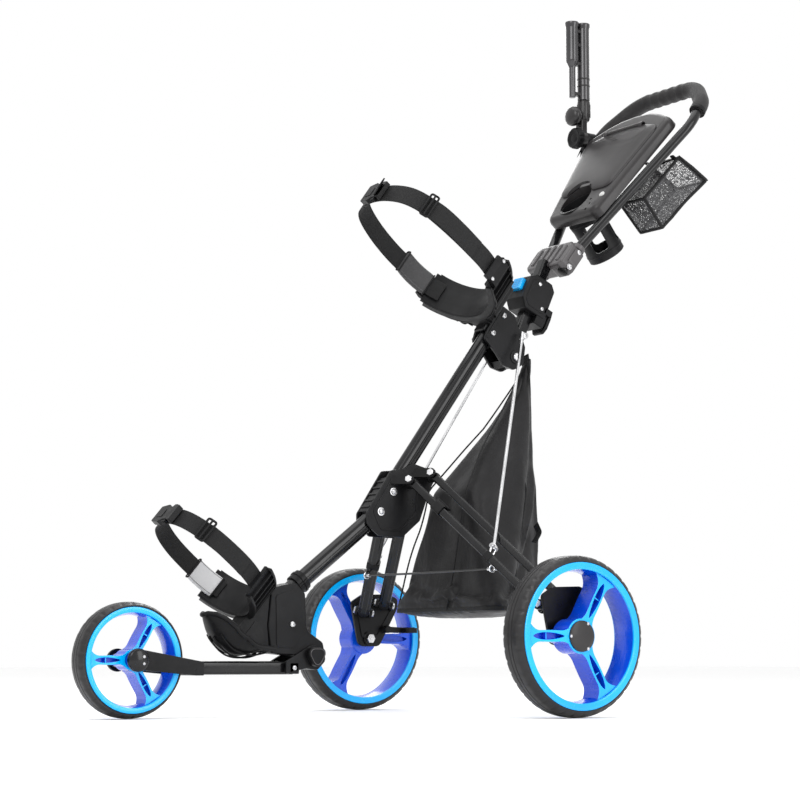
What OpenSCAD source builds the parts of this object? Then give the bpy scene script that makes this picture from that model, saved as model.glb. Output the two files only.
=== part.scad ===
// Three-wheel folding golf push cart.
// X is lateral, the front wheel points to -Y, the handle rises to +Y, +Z is up.
// Stations inside the modules are measured from the rear axle line on the floor.

/* [Wheels] */
// Distance between the rear wheel centre planes
track = 640; // [560:5:700]
// Distance from the rear axle to the front axle
wheelbase = 652; // [600:2:700]
// Outer radius of a rear tyre
rear_r = 132.5; // [115:0.5:145]
// Outer radius of the front tyre
front_r = 92.5; // [80:0.5:105]
// Width of a rear tyre
rear_w = 51; // [40:1:60]
// Width of the front tyre
front_w = 45; // [36:1:50]

/* [Frame] */
// Depth of the main tube's oval section
main_d = 30; // [26:1:34]
// Width of the main tube's oval section
main_w = 24; // [20:1:28]
// Slope of the upper part of the main tube, degrees
main_a = 53.6; // [52:0.1:55]
// Slope of the lower part of the main tube, degrees
nose_a = 37.7; // [36:0.1:39]
// Slope of the folding handle tube, degrees
post_a = 65.3; // [64:0.1:67]
// Side of the square handle tube
post_w = 22; // [18:1:24]

/* [Handle] */
// Slope of the U-shaped handle's plane, degrees
bar_a = 52; // [50:0.5:54]
// Diameter of the handle bars
bar_d = 19; // [16:0.5:22]
// Half the distance between the bars at the clamp
bar_low_x = 41; // [36:1:46]
// Half the distance between the bars below the grip
bar_high_x = 147; // [130:1:150]
// Diameter of the foam grip
grip_d = 31; // [28:1:34]

/* [Hidden] */
$fn = 48;

// corner of the main tube, where its two straight parts would meet
bend = [-185, 336];
nose = [-372, 336 - 187 * tan(nose_a)];
top = [98, 336 + 283 * tan(main_a)];
pivot = [116, 640];
bar_origin = [224, 822];
bar_reach = 468;
front_pivot = [-318, 100];
// rear end of the grip, which with the front tyre centres the model on Y
grip_back = bar_origin[0] + bar_reach * cos(bar_a) + grip_d / 2;
y_shift = (wheelbase + front_r - grip_back) / 2;
function on_main(s, n = 0) = [bend[0] + s * cos(main_a) - n * sin(main_a),
    bend[1] + s * sin(main_a) + n * cos(main_a)];
function on_post(s, n = 0) = [pivot[0] + s * cos(post_a) - n * sin(post_a),
    pivot[1] + s * sin(post_a) + n * cos(post_a)];
function on_bars(s, n = 0) = [bar_origin[0] + s * cos(bar_a) - n * sin(bar_a),
    bar_origin[1] + s * sin(bar_a) + n * cos(bar_a)];

// the legs: hinge pin in the centre bracket, and pin in the hub bracket, right-hand side
leg_top = [34, -124, 400];
leg_foot = [264, -24, 182];
link_step = [0, 46, 14];
leg_w = 22;
leg_t = 13;
// shafts, and the play of a bore over its shaft
axle_d = 12;
pivot_d = 8;
fit = 0.1;

// --- helpers -------------------------------------------------------------
module place() translate([0, y_shift, 0]) children();
// children drawn in the (y, z) plane, thickness along x
module side_plane() rotate([90, 0, 90]) children();
// children in a frame whose X stays lateral, Y runs up the slope, Z is the outer normal
module slope(p, a, x = 0) translate([x, p[0], p[1]]) rotate([a, 0, 0]) children();
// children along the line from a to b, drawn along +Z with local X kept level
module along(a, b) {
    d = b - a;
    translate(a) rotate([0, 0, atan2(d[1], d[0])]) rotate([0, acos(d[2] / norm(d)), 0]) children();
}
module rod(a, b, d) along(a, b) cylinder(h = norm(b - a), d = d);
module box(size, r = 2) {
    translate([0, 0, -size[2] / 2]) linear_extrude(size[2]) round_rect(size[0], size[1], r);
}
module round_rect(w, h, r) {
    square([w - 2 * r, h], center = true);
    square([w, h - 2 * r], center = true);
    for (i = [-1, 1]) for (j = [-1, 1])
        translate([i * (w / 2 - r), j * (h / 2 - r)]) circle(r);
}
module both() { children(); mirror([1, 0, 0]) children(); }
module side(s) if (s > 0) children(); else mirror([1, 0, 0]) children();
// a bolt head and a nut on one axis along x
module cross_bolt(p, half, d = 10) {
    for (s = [-1, 1]) translate([s * half, p[0], p[1]]) rotate([0, s * 90, 0]) {
        cylinder(h = 3, d = d);
        translate([0, 0, 3]) cylinder(h = 1.5, d = d * 0.72);
    }
}

// Planar path with round corners: children are its section, centred on the origin.
// The section adds $grow all round, which is a little more in the corners than in the straights.
$grow = 0;
joint_grow = 0.05;
joint_lap = 1;
function turn(a, b, c) = let (u = (b - a) / norm(b - a), v = (c - b) / norm(c - b))
    atan2(u[0] * v[1] - u[1] * v[0], u[0] * v[0] + u[1] * v[1]);
function cut(pts, r, i) = (i == 0 || i == len(pts) - 1) ? 0
    : r * tan(abs(turn(pts[i - 1], pts[i], pts[i + 1])) / 2);
module path(pts, r, over = 0) {
    last = len(pts) - 1;
    for (i = [0 : last - 1]) {
        d = pts[i + 1] - pts[i];
        u = d / norm(d);
        before = i == 0 ? over : joint_lap;
        after = i == last - 1 ? over : joint_lap;
        start = pts[i] + u * (cut(pts, r, i) - before);
        length = norm(d) - cut(pts, r, i) - cut(pts, r, i + 1) + before + after;
        translate([start[0], start[1], 0]) rotate([0, 0, atan2(d[1], d[0])])
            rotate([90, 0, 90]) linear_extrude(length) children();
    }
    for (i = [1 : 1 : last - 1]) {
        a = turn(pts[i - 1], pts[i], pts[i + 1]);
        u = (pts[i] - pts[i - 1]) / norm(pts[i] - pts[i - 1]);
        way = a > 0 ? 1 : -1;
        start = pts[i] - u * cut(pts, r, i);
        centre = start + way * r * [-u[1], u[0]];
        if (abs(a) > 0.5)
            translate([centre[0], centre[1], 0])
                rotate([0, 0, atan2(u[1], u[0]) - way * 90 + (way < 0 ? a : 0)])
                    rotate_extrude(angle = abs(a), $fn = 96) translate([r, 0])
                        let ($grow = joint_grow) children();
    }
}

// --- main frame ------------------------------------------------------------
module main_section(grow = 0) {
    w = main_w + 2 * (grow + $grow);
    square([main_d - main_w, w], center = true);
    for (s = [-1, 1]) translate([s * (main_d - main_w) / 2, 0]) circle(d = w);
}
module main_run(grow = 0, over = 0) side_plane() path([nose, bend, top], 230, over) main_section(grow);
// the straight lower end, carried on past the nose
module nose_run(grow) side_plane() path([nose - [60, 60 * tan(nose_a)], bend], 1) main_section(grow);
module main_tube() color([0.03, 0.03, 0.035]) difference() {
    main_run();
    main_run(-2, 1);
}
// saddle plates either side of the tube, with a bridge in front and one behind
plate_in = 12.4;
plate_t = 4.6;
module centre_bracket() color([0.06, 0.06, 0.065]) {
    difference() {
        union() {
            both() translate([plate_in, 0, 0]) side_plane() linear_extrude(plate_t) polygon([
                on_main(-6, 22), on_main(86, 26), on_main(102, 8), on_main(124, -2),
                on_main(138, -36), on_main(134, -56), on_main(112, -58), on_main(52, -74),
                on_main(6, -62), on_main(-22, -22), on_main(-22, 10)]);
            slope(on_main(36, 18.5), main_a) box([30, 74, 7]);
            slope(on_main(36, -20), main_a) box([30, 70, 6]);
        }
        main_run(0.3);
    }
    both() {
        ears(leg_top, 33, 14);
        ears(leg_top + link_step, 33, 14);
    }
}
module centre_bolts() color([0.62, 0.63, 0.65]) {
    for (s = [14, 58]) cross_bolt(on_main(s, 0), plate_in + plate_t + 0.1, 9);
    both() {
        hinge_pin(leg_top);
        hinge_pin(leg_top + link_step);
    }
}
module upper_bracket() color([0.05, 0.05, 0.055]) difference() {
    union() {
        for (s = [-1, 1]) translate([s * 18 - 3, 0, 0]) side_plane() linear_extrude(6) polygon([
            on_main(424, 17), on_main(480, 17), on_main(484, -14), [138, 660], [134, 628],
            [112, 616], [88, 622], on_main(400, -22), on_main(404, 10)]);
        slope(on_main(446, 18.6), main_a) box([30, 52, 7]);
    }
    translate([-60, pivot[0], pivot[1]]) rotate([0, 90, 0]) cylinder(h = 120, d = pivot_d + fit);
}
module upper_bolts() color([0.66, 0.66, 0.68]) {
    for (s = [424, 466]) cross_bolt(on_main(s, 4), 21.1, 10);
    cross_bolt(pivot, 21.1, 15);
    translate([-20, pivot[0], pivot[1]]) rotate([0, 90, 0]) cylinder(h = 40, d = 8);
}
// shaft that the fork folds on
module fork_pin(d, long) translate([0, front_pivot[0], front_pivot[1]]) rotate([0, 90, 0])
    cylinder(h = long, d = d, center = true);
module front_housing() color([0.05, 0.05, 0.055]) {
    difference() {
        side_plane() translate([0, 0, -21]) linear_extrude(42) polygon([
            [-398, 212], [-350, 222], [-332, 204], [-328, 142], [-296, 122], [-290, 92],
            [-306, 76], [-334, 80], [-346, 100], [-398, 104], [-404, 150]]);
        nose_run(0.4);
        fork_pin(axle_d + fit, 120);
    }
}

// --- bag cradles and straps --------------------------------------------------
// Each strap loop lies in a plane across the golf bag: local Y leaves the frame, Z runs down the bag.
up_at = on_main(468);
up_r = 102;
up_straight = 78;
up_gap = 46;
low_at = [-424, 188];
low_a = 49;
low_r = 78;
low_straight = 44;
low_gap = 4;
strap_t = 2.4;
module up_plane(y = 0) slope(up_at, main_a + 90) translate([0, up_gap + up_r + y, 0]) children();
module low_plane(y = 0) slope(low_at, low_a + 90) translate([0, low_gap + low_r + y, 0]) children();
// curved strip: the part of a ring that lies between two heights
module arch(inner, wall, low, high) intersection() {
    difference() {
        circle(inner + wall, $fn = 96);
        circle(inner, $fn = 96);
    }
    translate([-200, low]) square([400, high - low]);
}
module loop_shape(r, straight) {
    circle(r, $fn = 96);
    translate([0, straight]) circle(r, $fn = 96);
    translate([-r, 0]) square([2 * r, straight]);
}
module strap_loop(r, straight, width, low) linear_extrude(width, center = true) difference() {
    loop_shape(r + strap_t, straight);
    loop_shape(r, straight);
    translate([-200, -200]) square([400, 200 + low]);
}
module upper_cradle() color([0.05, 0.05, 0.055]) {
    // block between the trough and the bracket's front plate
    difference() {
        slope(up_at, main_a + 90) translate([0, 35, 0]) box([40, 25, 70], 4);
        slope(on_main(446, 18.6), main_a) box([31, 120, 7.2]);
    }
    up_plane() {
        linear_extrude(66, center = true) arch(up_r + strap_t + 0.4, 7, -140, -42);
        for (z = [-33, 33]) translate([0, 0, z]) linear_extrude(5, center = true)
            arch(up_r + strap_t + 0.4, 13, -140, -50);
    }
}
module upper_pad() color([0.25, 0.25, 0.27]) up_plane() linear_extrude(46, center = true)
    intersection() {
        difference() { circle(up_r + 5, $fn = 96); circle(up_r - 5, $fn = 96); }
        translate([-200, -38]) square([190, 66]);
    }
module upper_strap() color([0.08, 0.08, 0.085]) up_plane() difference() {
    strap_loop(up_r, up_straight, 38, -62);
    translate([-200, -38.4, -30]) cube([190, 66.8, 60]);
}
module upper_buckle() color([0.04, 0.04, 0.045]) up_plane(up_straight) {
    translate([0, up_r + strap_t + 4.7, 0]) rotate([90, 0, 0]) box([54, 44, 9], 4);
    rotate([0, 0, -62]) translate([0, up_r + strap_t + 3.6, 0]) rotate([90, 0, 0]) box([9, 46, 7], 2);
}
module lower_cradle() color([0.05, 0.05, 0.055]) {
    low_plane() {
        linear_extrude(58, center = true) arch(low_r + strap_t + 0.4, 7, -100, -30);
        translate([0, 0, 33]) linear_extrude(5) intersection() {
            circle(low_r + 8, $fn = 96);
            translate([-62, -110]) square([124, 96]);
        }
    }
    // curved tongue that carries the bottom of the golf bag
    side_plane() translate([0, 0, -42]) linear_extrude(84) polygon([
        [-404.5, 106], [-440, 96], [-474, 101], [-502, 124], [-522, 166], [-514, 170],
        [-494, 136], [-468, 113], [-440, 106], [-404.5, 116]]);
    difference() {
        side_plane() translate([0, 0, -20]) linear_extrude(40) polygon([
            [-446, 186], [-402, 224], [-399.5, 212], [-405.4, 150],
            [-401, 106], [-432, 104], [-470, 114]]);
        low_plane() linear_extrude(66, center = true) circle(low_r + strap_t + 4, $fn = 96);
        nose_run(0.3);
    }
}
module lower_pad() color([0.7, 0.7, 0.7]) low_plane() linear_extrude(40, center = true)
    intersection() {
        difference() { circle(low_r + 5, $fn = 96); circle(low_r - 3, $fn = 96); }
        translate([-200, -28]) square([190, 50]);
    }
module lower_strap() color([0.08, 0.08, 0.085]) low_plane() difference() {
    strap_loop(low_r, low_straight, 32, -50);
    translate([-200, -28.4, -30]) cube([190, 50.8, 60]);
}
module lower_buckle() color([0.04, 0.04, 0.045]) low_plane(low_straight) {
    translate([0, low_r + strap_t + 5.2, 0]) rotate([90, 0, 0]) box([58, 38, 10], 4);
    rotate([0, 0, -58]) translate([0, low_r + strap_t + 3.6, 0]) rotate([90, 0, 0]) box([9, 40, 7], 2);
}

// --- storage bag and brake cable ---------------------------------------------
module storage_bag() color([0.07, 0.07, 0.08]) hull() {
    translate([-14, 154, 640]) cube([28, 14, 6]);
    translate([-60, -28, 430]) cube([120, 20, 6]);
    translate([-170, -46, 178]) cube([340, 20, 6]);
    translate([-120, 84, 196]) cube([240, 20, 6]);
    translate([-76, 134, 280]) cube([152, 12, 110]);
}
module brake_cable() color([0.1, 0.1, 0.1]) rod([-188.6, -68, 246], [188.6, -68, 246], 4);

// --- folding handle -----------------------------------------------------------
module post_run(over = 0) side_plane() path([on_post(-16), on_post(206)], 1, over) children();
module handle_tube() color([0.03, 0.03, 0.035]) difference() {
    post_run() round_rect(post_w, post_w, 3);
    post_run(1) round_rect(post_w - 4, post_w - 4, 2);
    for (at = [pivot, on_post(44)]) translate([-60, at[0], at[1]])
        rotate([0, 90, 0]) cylinder(h = 120, d = pivot_d + fit);
}
module rod_pin() color([0.62, 0.63, 0.65]) translate([-28, on_post(44)[0], on_post(44)[1]])
    rotate([0, 90, 0]) cylinder(h = 56, d = 8);
module bar_clamp() color([0.09, 0.09, 0.1]) difference() {
    slope(bar_origin, bar_a) union() {
        translate([0, 8, 4]) box([106, 60, 36], 8);
        for (i = [-2 : 2]) translate([i * 18, 8, 22]) box([6, 52, 4], 1);
    }
    bar_run(bar_d + 0.2, 1);
    side_plane() path([on_post(-16), on_post(300)], 1) square(post_w + 0.3, center = true);
}
module clamp_screws() color([0.6, 0.6, 0.62]) slope(bar_origin, bar_a)
    for (s = [-1, 1]) for (v = [-12, 24]) translate([s * 53.1, v, 0]) rotate([0, s * 90, 0]) {
        cylinder(h = 3, d = 9);
        translate([0, 0, 3]) cylinder(h = 1.2, d = 6.5);
    }
// U-shaped handle: half of its centre line on the bars' plane, from the clamp to the grip
bar_corner = 34;
bar_half = [[bar_low_x, -22], [bar_low_x, 34], [bar_high_x, 346], [136, 408], [82, bar_reach]];
bar_path = concat([for (p = bar_half) [-p[0], p[1]]], [for (i = [4 : -1 : 0]) bar_half[i]]);
module bar_run(d, over = 0) slope(bar_origin, bar_a) path(bar_path, bar_corner, over)
    circle(d = d + 2 * $grow);
module handle_bars() color([0.03, 0.03, 0.035]) difference() {
    bar_run(bar_d);
    bar_run(bar_d - 4, 1);
}
grip_x = bar_high_x + (136 - bar_high_x) * (380 - 346) / (408 - 346);
module grip_run(d, over = 0) slope(bar_origin, bar_a)
    path(concat([[-grip_x, 380]], [for (i = [3 : 6]) bar_path[i]], [[grip_x, 380]]), bar_corner, over)
        circle(d = d + 2 * $grow);
module handle_grip() color([0.09, 0.09, 0.095]) difference() {
    grip_run(grip_d);
    grip_run(bar_d + 0.04, 1);
}
module lock_housing() color([0.05, 0.05, 0.055]) difference() {
    slope(on_post(128), post_a) union() {
        translate([0, 0, 4]) box([52, 70, 62], 6);
        translate([0, -38, -20]) box([44, 24, 22], 4);
        for (s = [-1, 1]) translate([s * 24.2, -18, -28]) cube([3.6, 12, 20], center = true);
    }
    lever_axis(6 + fit, 80);
    slope(on_post(128), post_a) rotate([90, 0, 0]) linear_extrude(200, center = true)
        square(post_w + 0.3, center = true);
    slope(on_post(136), post_a) translate([-14.3, -12.3, 18]) cube([28.6, 24.6, 30]);
}
module lock_button() color([0.0, 0.45, 0.85]) slope(on_post(136), post_a)
    translate([-14, -12, 24]) cube([28, 24, 19]);
module lever_axis(d, long) slope(on_post(110, -32), post_a) rotate([0, 90, 0])
    cylinder(h = long, d = d, center = true);
module lock_lever() color([0.06, 0.06, 0.065]) {
    slope(on_post(110, -32), post_a) translate([0, -14, -8]) box([40, 46, 8], 4);
    lever_axis(9, 44);
    lever_axis(6, 52);
}

// --- console, net and cup holder ----------------------------------------------
// middle, width and length of the lid on the bars' plane
lid_v = 247.5;
lid_w = 152;
lid_l = 169;
module console_outline(grow = 0) {
    hull() {
        for (s = [-1, 1]) translate([s * 98, 330]) circle(22 + grow);
        for (s = [-1, 1]) translate([s * 54, 120]) circle(20 + grow);
        translate([0, 338]) circle(34 + grow);
    }
}
// radius of the cup's hole, and of the wall round it
cup_hole = 36.5;
cup_wall = 39.2;
module tray(low, grow) translate([0, lid_v, low]) linear_extrude(40)
    round_rect(lid_w + grow, lid_l + grow, 20);
// shell over the bars, open below, with a shallow tray under the lid
module console_body() color([0.08, 0.08, 0.085]) slope(bar_origin, bar_a) difference() {
    translate([0, 0, 10]) linear_extrude(24) console_outline();
    difference() {
        translate([0, 0, 6]) linear_extrude(24) console_outline(-5);
        tray(12, 6);
        cup_axis() cylinder(h = 300, r = cup_wall, center = true);
    }
    difference() {
        tray(15, 0.6);
        cup_axis() cylinder(h = 300, r = cup_wall, center = true);
    }
    for (s = [-1, 1]) translate([s * bar_low_x, 34, 0])
        rotate([0, 0, -s * atan2(bar_high_x - bar_low_x, 312)])
            rotate([-90, 0, 0]) cylinder(h = 420, d = bar_d + 1);
    cup_axis() cylinder(h = 300, r = cup_hole, center = true);
    translate([66, 143, 0]) cylinder(h = 60, d = 17);
}
// lean of the cup from upright, degrees
cup_tilt = 38;
module cup_axis() translate([-12, 143, 22]) rotate([cup_tilt - bar_a, 0, 0]) children();
module console_lid() color([0.1, 0.1, 0.105]) slope(bar_origin, bar_a)
    difference() {
        union() {
            translate([0, lid_v, 31]) linear_extrude(9) round_rect(lid_w, lid_l, 20);
            translate([0, lid_v + lid_l / 2 + 1, 40]) rotate([0, 90, 0])
                cylinder(h = 90, d = 7, center = true);
        }
        translate([0, lid_v, 27]) linear_extrude(9) round_rect(lid_w - 6, lid_l - 6, 18);
        cup_axis() cylinder(h = 300, r = 40, center = true);
    }
module ball_marker() color([0.75, 0.75, 0.76]) slope(bar_origin, bar_a)
    translate([66, 143, 30.1]) cylinder(h = 8, d = 16);
module cup_holder() color([0.07, 0.07, 0.075]) slope(bar_origin, bar_a) cup_axis() difference() {
    translate([0, 0, -112]) cylinder(h = 118, r = 36);
    translate([0, 0, -108]) cylinder(h = 130, r = 33.4);
    for (a = [45 : 90 : 315]) rotate([0, 0, a]) translate([0, -14, -92]) cube([60, 28, 56]);
}
net_side = [[352, 954], [446, 1040], [516, 1002], [430, 902], [396, 896]];
module net_pocket() color([0.2, 0.2, 0.21]) difference() {
    translate([14, 0, 0]) side_plane() linear_extrude(88) polygon(net_side);
    translate([16, 0, 0]) side_plane() linear_extrude(84) polygon([
        [358, 953], [460, 1049], [534, 1010], [429, 906], [399, 900]]);
}
module net_rim() color([0.05, 0.05, 0.055]) for (x = [15, 101])
    rod([x, 449, 1044], [x, 518, 1007], 5);

// --- umbrella holder ------------------------------------------------------------
um_s = 326;
um_x = -bar_low_x - (bar_high_x - bar_low_x) * (um_s - 34) / 312;
um_at = on_bars(um_s);
um_c = [-144, 404, 1120];
module bar_axis_left() translate([um_x, um_at[0], um_at[1]]) rotate([bar_a, 0, 0])
    rotate([0, 0, atan2(bar_high_x - bar_low_x, 312)]) rotate([-90, 0, 0]) children();
module umbrella_clamp() color([0.06, 0.06, 0.065]) difference() {
    union() {
        bar_axis_left() cylinder(h = 23, d = 32, center = true);
        translate([um_c[0] - 12, 0, 0]) side_plane() linear_extrude(24) polygon([
            on_bars(315, 2), on_bars(336, 2), [um_c[1] + 38, um_c[2] + 8],
            [um_c[1] + 16, um_c[2] + 10], [um_c[1] + 16, um_c[2] - 14]]);
        translate(um_c + [0, 16, 0]) rotate([-90, 0, 0]) cylinder(h = 22, d = 30);
        translate(um_c - [0, 11, 0]) rotate([-90, 0, 0]) cylinder(h = 40, d = pivot_d);
    }
    bar_run(bar_d + 0.2);
}
// nut with a round grip on the clamp's stud
module clamp_knob() color([0.07, 0.07, 0.075]) translate(um_c) difference() {
    rotate([90, 0, 0]) cylinder(h = 14, d = 38);
    translate([0, 1, 0]) rotate([90, 0, 0]) cylinder(h = 13, d = pivot_d + fit);
}
module umbrella_joint() color([0.08, 0.08, 0.085]) difference() {
    union() {
        translate(um_c) rotate([-90, 0, 0]) translate([0, 0, 0.4]) cylinder(h = 15.2, d = 30);
        translate(um_c + [-10, 0.4, 12]) cube([20, 15.2, 26]);
        translate(um_c + [0, 14, 36]) cylinder(h = 42, d = 26);
    }
    translate(um_c + [0, -20, 0]) rotate([-90, 0, 0]) cylinder(h = 50, d = pivot_d + fit);
    translate(um_c + [0, 14, 60]) cylinder(h = 30, d = 18.1);
    translate(um_c + [0, -20, 44]) rotate([-90, 0, 0]) cylinder(h = 26, d = pivot_d + fit);
}
module joint_knob() color([0.07, 0.07, 0.075]) translate(um_c + [0, -2, 44]) {
    rotate([90, 0, 0]) cylinder(h = 24, d = 36);
    rotate([-90, 0, 0]) cylinder(h = 7.5, d = 8);
}
module umbrella_tube() color([0.16, 0.16, 0.17]) translate(um_c + [0, 14, 78.3]) {
    difference() {
        union() {
            translate([0, 0, -17]) cylinder(h = 20, d = 18);
            cylinder(h = 158, d = 26);
            translate([-2, -27, 62]) cylinder(h = 96, d = 26);
        }
        translate([0, 0, 30]) cylinder(h = 160, d = 22);
        translate([-2, -27, 70]) cylinder(h = 110, d = 22);
    }
}

// --- rear legs --------------------------------------------------------------------
// The leg hinges share one skewed direction, square to the bars, so that the hubs come in as they drop.
hinge_dir = [-0.56512, 0.79135, -0.23323];
hinge_roll = -18;
pin_d = 6;
bar_end = 8;
module on_hinge(p) along(p, p + hinge_dir) children();
module flat_bar(a, b) difference() {
    along(a, b) rotate([0, 0, hinge_roll]) translate([0, 0, -bar_end])
        linear_extrude(norm(b - a) + 2 * bar_end) round_rect(leg_t, leg_w, 2);
    for (p = [a, b]) on_hinge(p) cylinder(h = 60, d = pin_d + 0.1, center = true);
}
// two ears round a hinge pin; each reaches its own distance back to the plate that carries it
module ears(p, first, second) on_hinge(p) difference() {
    for (e = [[-16, first], [11.4, second]]) translate([0, 0, e[0]]) linear_extrude(4.6) union() {
        circle(9);
        translate([-8, min(0, e[1])]) square([16, abs(e[1])]);
    }
    cylinder(h = 60, d = pin_d + 0.1, center = true);
}
module hinge_pin(p) on_hinge(p) {
    cylinder(h = 38, d = pin_d, center = true);
    for (z = [-19, 16.1]) translate([0, 0, z]) cylinder(h = 2.9, d = 12);
}
rod_foot = [176, -54, 283];
rod_top = [33, 122, 683];
rod_d = 5.5;
// direction of the pin that the push rod swings on, and the point of the leg below it
rod_pin_dir = [0.28756, -0.83452, 0.46999];
rod_seat = [176, -62, 266];
module leg(s) color([0.03, 0.03, 0.035]) side(s) {
    flat_bar(leg_top, leg_foot);
    along(rod_foot, rod_foot + rod_pin_dir) cylinder(h = 18, d = 5, center = true);
    for (k = [-7, 7]) rod(rod_foot + k * rod_pin_dir, rod_seat + 0.6 * k * rod_pin_dir, 4);
}
module link(s) color([0.03, 0.03, 0.035]) side(s) flat_bar(leg_top + link_step, leg_foot + link_step);
module leg_left() leg(-1);
module leg_right() leg(1);
module link_left() link(-1);
module link_right() link(1);
hub_in = track / 2 - rear_w / 2 - 6;
// plate between the leg ends and the wheel, with the axle bore
module hub_bracket(s) color([0.06, 0.06, 0.065]) side(s) {
    translate([hub_in - 6, 0, 0]) difference() {
        side_plane() linear_extrude(6) polygon([
            [-40, 200], [-16, 214], [40, 216], [66, 208], [64, 188], [24, 118], [-22, 118]]);
        translate([-10, 0, rear_r]) rotate([0, 90, 0]) cylinder(h = 30, d = axle_d + fit);
    }
    for (p = [leg_foot, leg_foot + link_step]) ears(p, -16, -35);
}
module hub_hardware(s) color([0.6, 0.6, 0.62]) side(s) {
    translate([hub_in - 14, 0, rear_r]) rotate([0, 90, 0])
        cylinder(h = track / 2 + 19 - hub_in + 14, d = axle_d);
    for (p = [leg_foot, leg_foot + link_step]) hinge_pin(p);
}
module hub_bracket_left() hub_bracket(-1);
module hub_bracket_right() hub_bracket(1);
module hub_hardware_left() hub_hardware(-1);
module hub_hardware_right() hub_hardware(1);
module push_rod(s) color([0.75, 0.76, 0.78]) side(s) difference() {
    union() {
        rod(rod_foot, rod_top, rod_d);
        along(rod_foot, rod_foot + rod_pin_dir) cylinder(h = 7, d = 12, center = true);
    }
    along(rod_foot, rod_foot + rod_pin_dir) cylinder(h = 30, d = 5.1, center = true);
}
module rod_left() push_rod(-1);
module rod_right() push_rod(1);
brake_at = [-hub_in + 6.3, 34, 150];
module brake_pedal() color([0.07, 0.07, 0.075]) translate(brake_at) {
    rotate([0, 90, 0]) cylinder(h = 16, d = 14);
    translate([0.4, 0, -5]) cube([15.6, 46, 8]);
    translate([0.4, 30, -7]) cube([34, 26, 10]);
}

// --- wheels -------------------------------------------------------------------------
// wall is the tyre's depth over the rim, shoulder the width of its chamfer
module tyre(r, w, wall, shoulder) rotate([0, 90, 0]) rotate_extrude($fn = 128) polygon([
    [r - wall, -w / 2 + 4], [r - wall + 3, -w / 2], [r - shoulder, -w / 2],
    [r - 2, -w / 2 + shoulder * 0.7],
    [r, -w / 2 + shoulder * 1.3], [r, w / 2 - shoulder * 1.3], [r - 2, w / 2 - shoulder * 0.7],
    [r - shoulder, w / 2], [r - wall + 3, w / 2], [r - wall, w / 2 - 4]]);
// barrel with three flared spokes; r is its radius under the tyre
module rim(r, w, hub, bore) {
    rotate([0, 90, 0]) rotate_extrude($fn = 128) polygon([
        [r, -w / 2 + 4], [r, w / 2 - 4], [r + 2, w / 2], [r - 4, w / 2 + 0.5], [r - 14, w / 2 - 12],
        [r - 14, -w / 2 + 12], [r - 4, -w / 2 - 0.5], [r + 2, -w / 2]]);
    difference() {
        union() {
            rotate([0, 90, 0]) cylinder(h = w * 0.8, d = hub, center = true);
            for (a = [90 : 120 : 330]) rotate([a, 0, 0]) {
                translate([0, 0, r * 0.38]) cube([20, 16, r * 0.5], center = true);
                for (b = [-1, 1]) translate([0, b * r * 0.16, r * 0.72]) rotate([b * -28, 0, 0])
                    cube([18, 13, r * 0.42], center = true);
            }
        }
        rotate([0, 90, 0]) cylinder(h = 200, d = bore, center = true);
    }
}
module rear_at(s) translate([s * track / 2, 0, rear_r]) rotate([0, 0, s > 0 ? 0 : 180]) children();
module rear_tyre(s) color([0.05, 0.05, 0.055]) rear_at(s) tyre(rear_r, rear_w, 13, 10);
module rear_rim(s) color([0.0, 0.42, 0.85]) rear_at(s) rim(rear_r - 13, rear_w, 58, axle_d + fit);
module hub_cap(s) color([0.07, 0.07, 0.075]) rear_at(s) translate([rear_w * 0.4, 0, 0])
    rotate([0, 90, 0]) cylinder(h = rear_w * 0.1, d = 52);
module tyre_left() rear_tyre(-1);
module tyre_right() rear_tyre(1);
module rim_left() rear_rim(-1);
module rim_right() rear_rim(1);
module hub_cap_left() hub_cap(-1);
module hub_cap_right() hub_cap(1);
module front_at() translate([0, -wheelbase, front_r]) children();
module front_tyre() color([0.05, 0.05, 0.055]) front_at() tyre(front_r, front_w, 10, 6);
module front_rim() color([0.0, 0.42, 0.85]) front_at() rim(front_r - 10, front_w, 34, axle_d + fit);
module front_axle() color([0.6, 0.6, 0.62]) front_at() rotate([0, 90, 0])
    cylinder(h = 92, d = axle_d, center = true);
module front_fork() color([0.05, 0.05, 0.055]) {
    both() translate([33, 0, 0]) difference() {
        side_plane() linear_extrude(5) union() {
            translate([-wheelbase, front_r]) circle(19);
            polygon([[-wheelbase, front_r + 12], [-wheelbase, front_r - 14],
                [-548, 68], [-534, 68], [-534, 90]]);
        }
        translate([-10, -wheelbase, front_r]) rotate([0, 90, 0]) cylinder(h = 30, d = axle_d + fit);
    }
    translate([-33, -548, 68]) cube([66, 14, 22]);
    translate([0, -446, 80]) rotate([90, 0, 0]) box([34, 22, 190], 3);
    both() translate([21.4, 0, 0]) difference() {
        side_plane() linear_extrude(5) union() {
            translate(front_pivot) circle(18);
            polygon([[-372, 70], [-312, 83], [-330, 114], [-372, 91]]);
        }
        translate([-10, front_pivot[0], front_pivot[1]]) rotate([0, 90, 0])
            cylinder(h = 30, d = axle_d + fit);
    }
    translate([-26.4, -366, 70]) cube([52.8, 20, 20]);
}
module pivot_cap() color([0.05, 0.05, 0.055]) translate([0, front_pivot[0], front_pivot[1]]) {
    rotate([0, 90, 0]) cylinder(h = 64, d = 12, center = true);
    for (s = [-1, 1]) translate([s * 26.6, 0, 0]) rotate([0, s * 90, 0]) linear_extrude(13) hull()
        for (a = [90 : 120 : 330]) rotate([0, 0, a]) translate([10, 0]) circle(9);
}
place() main_tube();
place() centre_bracket();
place() centre_bolts();
place() upper_bracket();
place() upper_bolts();
place() upper_cradle();
place() upper_pad();
place() upper_strap();
place() upper_buckle();
place() lower_cradle();
place() lower_pad();
place() lower_strap();
place() lower_buckle();
place() front_housing();
place() storage_bag();
place() brake_cable();
place() handle_tube();
place() rod_pin();
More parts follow.
